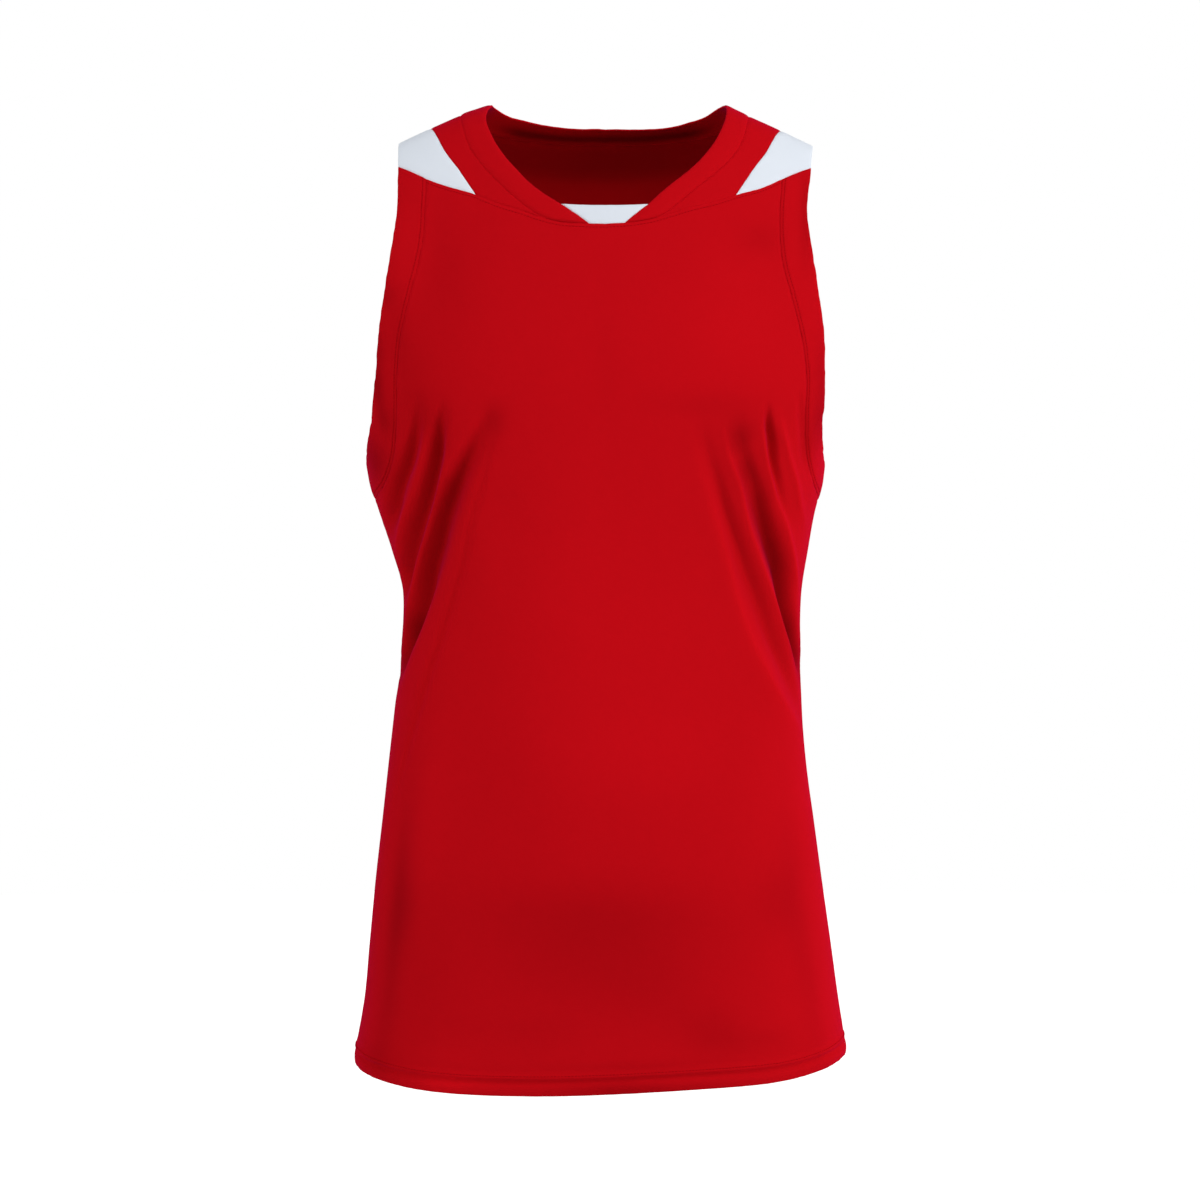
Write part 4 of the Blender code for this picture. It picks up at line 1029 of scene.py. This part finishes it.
# Painted shade on the back panel's inside, from its top edge down, turning to painted light.
def backInsidePaintedShade(fromTop):
    first, last, top, low = backPanel["insideShade"]
    return top + (low - top) * smoothStep(first, last, fromTop)


def makeBackPanel():
    left, right = panelSides(False)
    topTurn, topHeight = backTopLine()
    topShare = (topTurn - topTurn[0]) / (topTurn[-1] - topTurn[0])
    shares = closeEnds(len(topShare))
    turn, height = panelGrid(
        right, left + [2 * np.pi, 0], lambda t: np.interp(t, topTurn, topHeight), shares, topShare
    )
    turn = np.where(turn > np.pi, turn - 2 * np.pi, turn)
    piece, cloth = panelPiece("backCloth", turn, height, backPanel["seed"], {}, backInsidePaintedShade)
    stitchLines["hemBack"] = lineOnCloth(*cloth, "firstRow", hem["stitchLine"])
    return piece


band = {
    "stations": 110,
    "crowding": 0.1,
    "rows": [0, 0.03, 0.07, 0.1, 0.13, 0.16, 0.2, 0.26, 0.36, 0.48, 0.6, 0.72, 0.84, 0.93, 1],
    "groove": (3.0, 0.35, 0.7),  # under the stitches: at, depth, width
    # painted shade along the stitched groove
    "line": (0.13, 0.7),  # darker by, reach
    # edges with painted seam shade, and the kind of each
    "paintedSeamEdges": {"firstRow": "band", "firstColumn": "band", "lastColumn": "band"},
    "seed": {"left": 51, "right": 61},
    "sheet": {"left": ((0.026, 0.72), 0.017, "hung"), "right": ((0.026, 0.71), 0.017, "hung")},
}
band["edges"] = {
    "firstRow": {"grooves": [band["groove"]], "pucker": 0.14},
    "lastRow": {"roll": 0.6, "pucker": 0.25},
    "firstColumn": {"pucker": 0.05},
    "lastColumn": {"pucker": 0.05},
}


def makeBand(hand):
    shares = closeEnds(band["stations"], band["crowding"])
    lines = []
    for rows, last in (("bandSeam", "underarmSeam"), ("armholeEdge", "underarmEdge")):
        front, behind = (armholeLine(seams[rows], hand, seams[last], shares, way) for way in (True, False))
        lines.append(np.concatenate([front, behind[::-1][1:]]))
    across = np.array(band["rows"])[:, None]
    grid = lines[0] + (lines[1] - lines[0]) * across[..., None]
    turn, height = grid[..., 0], grid[..., 1]
    height[:, 0] = yokeEdge(turn[:, 0])
    height[:, -1] = shoulderSeamHeight(turn[:, -1])
    points, normals = bodyCloth(turn, height)
    distances = edgeDistances(points)
    relief = edgesRelief(distances, band["seed"][hand], band["edges"]) + crownOf(across)
    at = band["groove"][0]
    # painted shade along the band's stitched groove
    paintedShadeLevel, reach = band["line"]
    tone = paintedShadeAndLight(turn, height) + paintedSeamShade(distances, band["paintedSeamEdges"])
    tone += paintedShadeLevel * np.exp(-(((distances["firstRow"] - at) / reach) ** 2))
    piece, outer = clothShell("bandCloth_" + hand, points, normals, relief, walls["doubled"], tone)
    stitchLines["band_" + hand] = lineOnCloth(outer, normals, distances, "firstRow", at)
    return piece


def makeCollar():
    lines = []
    for which in ("outer", "inner"):
        left, right = (collarHalf(which, sign, frontShares, backShares) for sign in (-1, 1))
        lines.append(np.concatenate([left, right[::-1][1:]]))
    across = np.linspace(0, 1, collar["across"])[:, None]
    grid = lines[0] + (lines[1] - lines[0]) * across[..., None]
    x, over = grid[..., 0], grid[..., 1]
    for end in (0, -1):
        over[:, end] = angleOver(x[:, end], yokeHeight(x[:, end]), "front")
    points, normals = shoulderCloth(x, over)
    lifts = [smoothCurve(*zip(*collar["lift"][hand]), over) for hand in ("left", "right")]
    distances = edgeDistances(points)
    relief = edgesRelief(distances, collar["seed"], collar["edges"]) + crownOf(across)
    relief += np.where(x < 0, *lifts) * across**2
    # painted shadow on the inside of the collar
    place, reach, paintedShadeLevel = collar["insideShade"]
    inside = paintedShadeLevel * np.exp(-(((across - place) / reach) ** 2))
    inside = inside * smoothStep(*collar["insideEnds"], np.abs(x - seams["neckAxis"]))
    tone = paintedSeamShade(distances, collar["paintedSeamEdges"])
    return clothShell("collarCloth", points, normals, relief, walls["doubled"], tone, inside)[0]


# Grid between four edge curves that meet at their ends.
def coonsPatch(bottom, top, left, right):
    u = np.linspace(0, 1, len(bottom))[None, :, None]
    v = np.linspace(0, 1, len(left))[:, None, None]
    across = (1 - v) * bottom[None] + v * top[None]
    up = (1 - u) * left[:, None] + u * right[:, None]
    corners = (1 - v) * ((1 - u) * bottom[0] + u * bottom[-1]) + v * ((1 - u) * top[0] + u * top[-1])
    return across + up - corners


yoke = {"columns": 31, "rowsUp": 55, "seed": 81, "sheet": ((0.06, 0.12), 0.0032, "draped")}
insert = {
    "rows": [  # side, out, height
        ("front", 100.2, None),
        ("front", 113.0, -42.5),
        ("front", 126.4, -23.2),
        ("ridge", 138.0, None),
    ],
    "columns": 27,
    "rowsUp": 55,
    # painted light: the left insert is painted lighter than the right
    "tone": {"left": -0.09, "right": 0.0},
    "seed": 91,
    "sheet": ((0.06, 0.08), 0.0027, "draped"),
}
neckInsert = {
    "top": -71.6,
    "dip": 1.2,
    "columns": 41,
    "rows": 11,
    "seed": 101,
    "sheet": ((0.068, 0.016), 0.00083, "stretched"),
}
strapEdge = {
    "roll": 1.0,
    "freeRoll": 0.4,
    "pucker": 0.08,
    # edges with painted seam shade, and the kind of each
    "paintedSeamEdges": {"firstRow": "seam", "firstColumn": "seam", "lastColumn": "border"},
}


def yokeRun(firstOut, lastOut, sign, count):
    x = seams["neckAxis"] + sign * np.linspace(firstOut, lastOut, count)
    return np.stack([x, angleOver(x, yokeHeight(x), "front")], axis=1)


def seamRun(firstX, lastX, count):
    return np.stack([np.linspace(firstX, lastX, count), np.full(count, bodyForm["shoulderSeam"])], axis=1)


# Inner edge of the white shoulder insert, from its tip on the yoke seam to the shoulder seam.
def insertEdge(sign, shares):
    rows = []
    for side, out, height in insert["rows"]:
        x = seams["neckAxis"] + sign * out
        height = yokeHeight(x) if not rows else height
        rows.append((x, angleOver(x, height, side)))
    rows.append((seams["neckAxis"] + sign * insert["rows"][-1][1], bodyForm["shoulderSeam"]))
    return resample(rows, shares, shoulderSurface)


def armholeTop(hand, shares):
    ends = []
    for isFront in (True, False):
        turn, height = lineTop(seams["armholeEdge"], hand, isFront)
        ends.append((float(halfWidth(turn, height) * np.sin(turn)), height))
    ridgeX = sideColumn(seams["armholeEdge"], hand)[1][0]
    rows = [(ends[0][0], angleOver(*ends[0], "front")), (ridgeX, 90.0)]
    rows.append((ends[1][0], bodyForm["shoulderSeam"]))
    return resample(rows, shares, shoulderSurface)


def finishShoulderPiece(name, grid, seed, wall, freeEdge=None, tone=None):
    points, normals = shoulderCloth(grid[..., 0], grid[..., 1])
    distances = edgeDistances(points)
    edges = {edge: {"roll": strapEdge["roll"], "pucker": strapEdge["pucker"]} for edge in edgeLines}
    if freeEdge:
        edges[freeEdge]["roll"] = strapEdge["freeRoll"]
    if tone is None:
        tone = paintedSeamShade(distances, strapEdge["paintedSeamEdges"])
    return clothShell(name, points, normals, edgesRelief(distances, seed, edges), wall, tone)[0]


def makeYoke(hand):
    sign = -1 if hand == "left" else 1
    shares = np.linspace(0, 1, yoke["rowsUp"])
    collarSide = collarHalf("outer", sign, shares, backShares)[: len(shares)]
    insertSide = insertEdge(sign, shares)
    firstOut = abs(collarSide[0, 0] - seams["neckAxis"])
    bottom = yokeRun(firstOut, insert["rows"][0][1], sign, yoke["columns"])
    top = seamRun(collarSide[-1, 0], insertSide[-1, 0], yoke["columns"])
    grid = coonsPatch(bottom, top, collarSide, insertSide)
    return finishShoulderPiece("yokeCloth_" + hand, grid, yoke["seed"] + sign, walls["single"])


def makeInsert(hand):
    sign = -1 if hand == "left" else 1
    shares = np.linspace(0, 1, insert["rowsUp"])
    innerSide = insertEdge(sign, shares)
    armSide = armholeTop(hand, shares)
    lastOut = abs(armSide[0, 0] - seams["neckAxis"])
    bottom = yokeRun(insert["rows"][0][1], lastOut, sign, insert["columns"])
    top = seamRun(innerSide[-1, 0], armSide[-1, 0], insert["columns"])
    grid = coonsPatch(bottom, top, innerSide, armSide)
    name, seed, tone = "insertCloth_" + hand, insert["seed"] + sign, insert["tone"][hand]
    return finishShoulderPiece(name, grid, seed, walls["single"], "lastColumn", tone)


# The gusset between the collar's ends, with a free top edge that dips in the middle.
def makeNeckInsert():
    edges = []
    for sign in (-1, 1):
        inner = collarHalf("inner", sign, frontShares, backShares)[: collar["frontSteps"]]
        height = shoulderSurface(inner[:, 0], inner[:, 1])[:, 2]
        levels = np.linspace(height[0], neckInsert["top"], neckInsert["rows"])
        edges.append(np.stack([np.interp(levels, height, inner[:, 0]), levels], axis=1))
    u = np.linspace(0, 1, neckInsert["columns"])
    grid = []
    for part, first, last in zip(np.linspace(0, 1, neckInsert["rows"]), *edges):
        x = first[0] + (last[0] - first[0]) * u
        line = first[1] + (last[1] - first[1]) * u
        seam = yokeHeight(x) - (yokeHeight(x[0]) + (yokeHeight(x[-1]) - yokeHeight(x[0])) * u)
        z = line - part * neckInsert["dip"] * 4 * u * (1 - u) + (1 - part) * seam
        grid.append(np.stack([x, angleOver(x, z, "front")], axis=1))
    seed = neckInsert["seed"]
    return finishShoulderPiece("neckInsertCloth", np.array(grid), seed, walls["doubled"], "lastRow", 0.0)


# Inputs that are sockets are linked, and others are set.
def setInputs(tree, node, inputs):
    for name, value in inputs.items():
        if isinstance(value, bpy.types.NodeSocket):
            tree.links.new(value, node.inputs[name])
        else:
            node.inputs[name].default_value = value


def addNode(tree, kind, inputs=None, **settings):
    node = tree.nodes.new(kind)
    for name, value in settings.items():
        setattr(node, name, value)
    setInputs(tree, node, inputs or {})
    return node


def mathNode(tree, operation, *values):
    return addNode(tree, "ShaderNodeMath", dict(enumerate(values)), operation=operation).outputs[0]


def mixColours(tree, factor, first, second, **settings):
    inputs = {"Factor": factor, "A": first, "B": second}
    return addNode(tree, "ShaderNodeMix", inputs, data_type="RGBA", **settings).outputs["Result"]


def noiseNode(tree, values):
    place = addNode(tree, "ShaderNodeTexCoord").outputs["Object"]
    return addNode(tree, "ShaderNodeTexNoise", {"Vector": place, **values}).outputs["Fac"]


def newMaterial(name):
    material = bpy.data.materials.new(name)
    material.use_nodes = True
    return material, material.node_tree, material.node_tree.nodes["Principled BSDF"]


# Knit: V-shaped loops in columns, on the piece's own cloth map in centimetres.
knitLoop = {
    "ribPower": 3.0,
    "slant": 1.6,
    "ribShare": 0.7,
    "loopShare": 0.3,
    "tone": (0.8, 0.8),  # gain, base
}


def knitGroup():
    group = bpy.data.node_groups.new("knitLoops", "ShaderNodeTree")
    for way, names in (("INPUT", ("Columns per cm", "Loops per cm")), ("OUTPUT", ("Height", "Tone"))):
        for name in names:
            group.interface.new_socket(name, in_out=way, socket_type="NodeSocketFloat")
    source = addNode(group, "NodeGroupInput").outputs
    cloth = addNode(group, "ShaderNodeUVMap", uv_map="clothMap").outputs["UV"]
    place = addNode(group, "ShaderNodeSeparateXYZ", {0: cloth}).outputs

    def math(operation, *values):
        return mathNode(group, operation, *values)

    column = math("MULTIPLY", place["X"], source["Columns per cm"])
    course = math("MULTIPLY", place["Y"], source["Loops per cm"])
    off = math("ABSOLUTE", math("SUBTRACT", math("FRACT", column), 0.5))
    rib = math("SUBTRACT", 1.0, math("POWER", math("MULTIPLY", off, 2.0), knitLoop["ribPower"]))
    slant = math("ADD", course, math("MULTIPLY", off, knitLoop["slant"]))
    loop = math("SINE", math("MULTIPLY", slant, 2 * np.pi))
    ribPart = math("MULTIPLY", rib, knitLoop["ribShare"])
    height = math("ADD", ribPart, math("MULTIPLY", loop, knitLoop["loopShare"]))
    gain, base = knitLoop["tone"]
    tone = math("ADD", math("MULTIPLY", height, gain), base)
    addNode(group, "NodeGroupOutput", {"Height": height, "Tone": tone})


knitFinish = {
    "red": {
        "base": (0.57, 0.0036, 0.0078, 1),
        "deep": (0.53, 0.0032, 0.007, 1),
        # the inside of the jersey is painted darker: painted shade of the interior
        "reverseShaded": (0.34, 0.0016, 0.0032, 1),
        "roughness": (0.52, 0.6),
        "sheen": 0.12,
        "sheenTint": (1.0, 0.04, 0.5, 1),
        "specular": 0.0,
        "specularTint": (1.0, 0.03, 0.1, 1),
    },
    "white": {
        "base": (0.80, 0.85, 0.925, 1),
        "deep": (0.77, 0.82, 0.895, 1),
        # the inside of the white pieces is painted darker: painted shade
        "reverseShaded": (0.72, 0.76, 0.81, 1),
        "roughness": (0.5, 0.6),
        "sheen": 0.0,
        "sheenTint": (1, 1, 1, 1),
        "specular": 0.08,
        "specularTint": (1, 1, 1, 1),
    },
    "sheenRoughness": 0.35,
    "knit": {"Columns per cm": 14.0, "Loops per cm": 18.0},
    "loopDepth": 0.00003,
    "mottle": {"Scale": 9.0, "Detail": 4.0},
    "creases": {"Scale": 38.0, "Detail": 3.0},
    "creaseBump": {"Distance": 0.0004, "Strength": 0.5},
}


def knitMaterial(colour):
    finish = knitFinish[colour]
    material, tree, shader = newMaterial(colour + "Knit")
    group = bpy.data.node_groups["knitLoops"]
    knit = addNode(tree, "ShaderNodeGroup", knitFinish["knit"], node_tree=group).outputs
    mottle = noiseNode(tree, knitFinish["mottle"])
    creases = noiseNode(tree, knitFinish["creases"])
    mottled = mathNode(tree, "MULTIPLY", mottle, knit["Tone"])
    outside = mixColours(tree, mottled, finish["deep"], finish["base"])
    isReverse = addNode(tree, "ShaderNodeAttribute", attribute_name="reverseSide").outputs["Fac"]
    # the inner skin takes the colour with painted shade
    cloth = mixColours(tree, isReverse, outside, finish["reverseShaded"])
    # painted shade darkens the colour, and painted light below zero brightens it
    paintedShadeLevel = addNode(tree, "ShaderNodeAttribute", attribute_name="paintedShadeAndLight").outputs["Fac"]
    low, high = finish["roughness"]
    rough = addNode(tree, "ShaderNodeMapRange", {"Value": mottle, "To Min": low, "To Max": high})
    loops = addNode(tree, "ShaderNodeBump", {"Distance": knitFinish["loopDepth"], "Height": knit["Height"]})
    bumpInputs = {"Height": creases, "Normal": loops.outputs["Normal"], **knitFinish["creaseBump"]}
    setInputs(tree, shader, {
        "Base Color": mixColours(tree, paintedShadeLevel, cloth, (0, 0, 0, 1), clamp_factor=False),
        "Roughness": rough.outputs["Result"],
        "Normal": addNode(tree, "ShaderNodeBump", bumpInputs).outputs["Normal"],
        "Sheen Weight": finish["sheen"],
        "Sheen Roughness": knitFinish["sheenRoughness"],
        "Sheen Tint": finish["sheenTint"],
        "Specular IOR Level": finish["specular"],
        "Specular Tint": finish["specularTint"],
    })
    return material


# Stitches: one short thread every so often along a line, lying on the cloth.
stitch = {"spacing": 2.6, "length": 1.9, "radius": 0.26, "lift": 0.3, "sides": 6, "rings": 4}
thread = {
    "dark": (0.25, 0.001, 0.003, 1),
    "light": (0.42, 0.002, 0.006, 1),
    "roughness": 0.6,
    "twist": {"Scale": 900.0},
}


def threadMaterial():
    material, tree, shader = newMaterial("redThread")
    twist = noiseNode(tree, thread["twist"])
    setInputs(tree, shader, {
        "Base Color": mixColours(tree, twist, thread["dark"], thread["light"]),
        "Roughness": thread["roughness"],
        "Specular IOR Level": 0.0,
    })
    return material


def stitchTree():
    tree = bpy.data.node_groups.new("stitchesAlong", "GeometryNodeTree")
    tree.is_modifier = True
    kinds = {"Geometry": "Geometry", "Spacing": "Float", "Length": "Float", "Radius": "Float"}
    kinds["Thread"] = "Material"
    for name, kind in kinds.items():
        tree.interface.new_socket(name, in_out="INPUT", socket_type="NodeSocket" + kind)
    tree.interface.new_socket("Geometry", in_out="OUTPUT", socket_type="NodeSocketGeometry")
    source = addNode(tree, "NodeGroupInput").outputs
    line = addNode(tree, "GeometryNodeMeshToCurve", {"Mesh": source["Geometry"]}).outputs["Curve"]
    spaced = {"Curve": line, "Length": source["Spacing"]}
    even = addNode(tree, "GeometryNodeResampleCurve", spaced, mode="LENGTH")
    ball = {"Segments": stitch["sides"], "Rings": stitch["rings"], "Radius": 1.0}
    half = mathNode(tree, "MULTIPLY", source["Length"], 0.5)
    size = addNode(tree, "ShaderNodeCombineXYZ", {"X": half, "Y": source["Radius"], "Z": source["Radius"]})
    tangent = addNode(tree, "GeometryNodeInputTangent").outputs["Tangent"]
    up = addNode(tree, "GeometryNodeInputNamedAttribute", {"Name": "clothUp"}, data_type="FLOAT_VECTOR")
    alongLine = addNode(tree, "FunctionNodeAlignRotationToVector", {"Vector": tangent}, axis="X")
    turned = {"Rotation": alongLine.outputs["Rotation"], "Vector": up.outputs["Attribute"]}
    onCloth = addNode(tree, "FunctionNodeAlignRotationToVector", turned, axis="Z", pivot_axis="X")
    threads = addNode(tree, "GeometryNodeInstanceOnPoints", {
        "Points": even.outputs["Curve"],
        "Instance": addNode(tree, "GeometryNodeMeshUVSphere", ball).outputs["Mesh"],
        "Rotation": onCloth.outputs["Rotation"],
        "Scale": size.outputs["Vector"],
    })
    real = addNode(tree, "GeometryNodeRealizeInstances", {"Geometry": threads.outputs["Instances"]})
    painted = {"Geometry": real.outputs["Geometry"], "Material": source["Thread"]}
    paint = addNode(tree, "GeometryNodeSetMaterial", painted)
    addNode(tree, "NodeGroupOutput", {"Geometry": paint.outputs["Geometry"]})


def makeStitches(name, lines, material):
    rows = np.concatenate(lines)
    lift = stitch["radius"] * stitch["lift"]
    points = (rows[:, :3] + rows[:, 3:] * lift) * mm
    edges = []
    first = 0
    for line in lines:
        edges += [(i, i + 1) for i in range(first, first + len(line) - 1)]
        first += len(line)
    mesh = bpy.data.meshes.new(name + "Path")
    mesh.from_pydata(points.tolist(), edges, [])
    attribute = mesh.attributes.new("clothUp", "FLOAT_VECTOR", "POINT")
    attribute.data.foreach_set("vector", rows[:, 3:].astype(np.float32).ravel())
    path = addObject(name + "Path", mesh)
    modifier = path.modifiers.new("stitches", "NODES")
    modifier.node_group = bpy.data.node_groups["stitchesAlong"]
    values = {key.capitalize(): stitch[key] * mm for key in ("spacing", "length", "radius")}
    values["Thread"] = material
    for item in modifier.node_group.interface.items_tree:
        if item.in_out == "INPUT" and item.name in values:
            modifier[item.identifier] = values[item.name]
    bpy.context.view_layer.update()
    graph = bpy.context.evaluated_depsgraph_get()
    sewn = bpy.data.meshes.new_from_object(path.evaluated_get(graph))
    sewn.shade_smooth()
    bpy.data.objects.remove(path)
    return addObject(name, sewn)


knitGroup()
knits = {colour: knitMaterial(colour) for colour in ("red", "white")}
redThread = threadMaterial()
print("materials made")


def addPiece(piece, node, colour):
    piece.data.materials.append(knits[colour])
    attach(piece, "root")
    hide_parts(node)
    print("%s: %d faces" % (piece.name, len(piece.data.polygons)))


addPiece(makeFrontPanel(), "front_panel", "red")
addPiece(makeBackPanel(), "back_panel", "red")
addPiece(makeCollar(), "collar", "red")
addPiece(makeNeckInsert(), "neck_insert", "white")
for hand in ("left", "right"):
    addPiece(makeYoke(hand), "yoke_" + hand, "red")
    addPiece(makeInsert(hand), "shoulder_insert_" + hand, "white")
    addPiece(makeBand(hand), "armhole_band_" + hand, "red")

stitchTree()
stitchSets = {
    "hemStitches": ["hemFront", "hemBack"],
    "yokeStitches": ["yokeSeam"],
    "bandStitches": ["band_left", "band_right"],
}
for name, lines in stitchSets.items():
    sewn = makeStitches(name, [stitchLines[line] for line in lines], redThread)
    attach(sewn, "root")
    print("%s: %d faces" % (name, len(sewn.data.polygons)))

# Studio: a round pale floor under white light, and soft panels.
studio = {
    "ambient": 0.27,
    "aim": (0, 0, -0.38),
    "panels": [  # name, turn from the front towards +X, degrees up, distance, size, watts
        ("frontPanel", 0, 5, 3.2, 1.6, 3),
        ("topPanel", 0, 62, 2.4, 1.2, 8),
        ("leftPanel", -60, 10, 2.6, 1.4, 20),
        ("rightPanel", 60, 10, 2.6, 1.4, 33),
        ("rightTopPanel", 45, 50, 2.6, 1.2, 9),
        ("rightBackPanel", 125, 10, 2.4, 1.2, 16),
        ("backPanel", 195, 15, 3.0, 1.6, 14),
    ],
    "floor": {"drop": 0.9, "radius": 12.0, "sides": 96, "colour": (0.8, 0.8, 0.8, 1), "roughness": 0.9},
}


def addStudio():
    scene = bpy.context.scene
    scene.view_settings.view_transform = "Standard"
    scene.world = bpy.data.worlds.new("paleStudio")
    scene.world.use_nodes = True
    tree = scene.world.node_tree
    seen = addNode(tree, "ShaderNodeLightPath").outputs["Is Camera Ray"]
    level = addNode(tree, "ShaderNodeMapRange", {"Value": seen, "To Min": studio["ambient"], "To Max": 1.0})
    setInputs(tree, tree.nodes["Background"], {"Color": (1, 1, 1, 1), "Strength": level.outputs["Result"]})
    for name, turn, up, distance, size, watts in studio["panels"]:
        turn, up = np.radians(turn), np.radians(up)
        away = np.array([np.sin(turn) * np.cos(up), -np.cos(turn) * np.cos(up), np.sin(up)])
        data = bpy.data.lights.new(name, "AREA")
        data.shape = "SQUARE"
        data.size = size
        data.energy = watts
        light = addObject(name, data)
        light.location = np.array(studio["aim"]) + away * distance
        light.rotation_euler = (np.pi / 2 - up, 0, turn)


def addFloor():
    settings = studio["floor"]
    low = min(row[1] for row in seams["hem"]) * mm - settings["drop"]
    turns = np.linspace(0, 2 * np.pi, settings["sides"], endpoint=False)
    ring = [(settings["radius"] * np.cos(t), settings["radius"] * np.sin(t), low) for t in turns]
    mesh = bpy.data.meshes.new("paleFloor")
    mesh.from_pydata(ring, [], [list(range(len(ring)))])
    material, tree, shader = newMaterial("paleFloorPaint")
    setInputs(tree, shader, {
        "Base Color": settings["colour"],
        "Roughness": settings["roughness"],
        "Emission Color": (1, 1, 1, 1),
        "Emission Strength": addNode(tree, "ShaderNodeLightPath").outputs["Is Camera Ray"],
    })
    mesh.materials.append(material)
    addObject("paleFloor", mesh)


addStudio()
addFloor()
print("studio made")
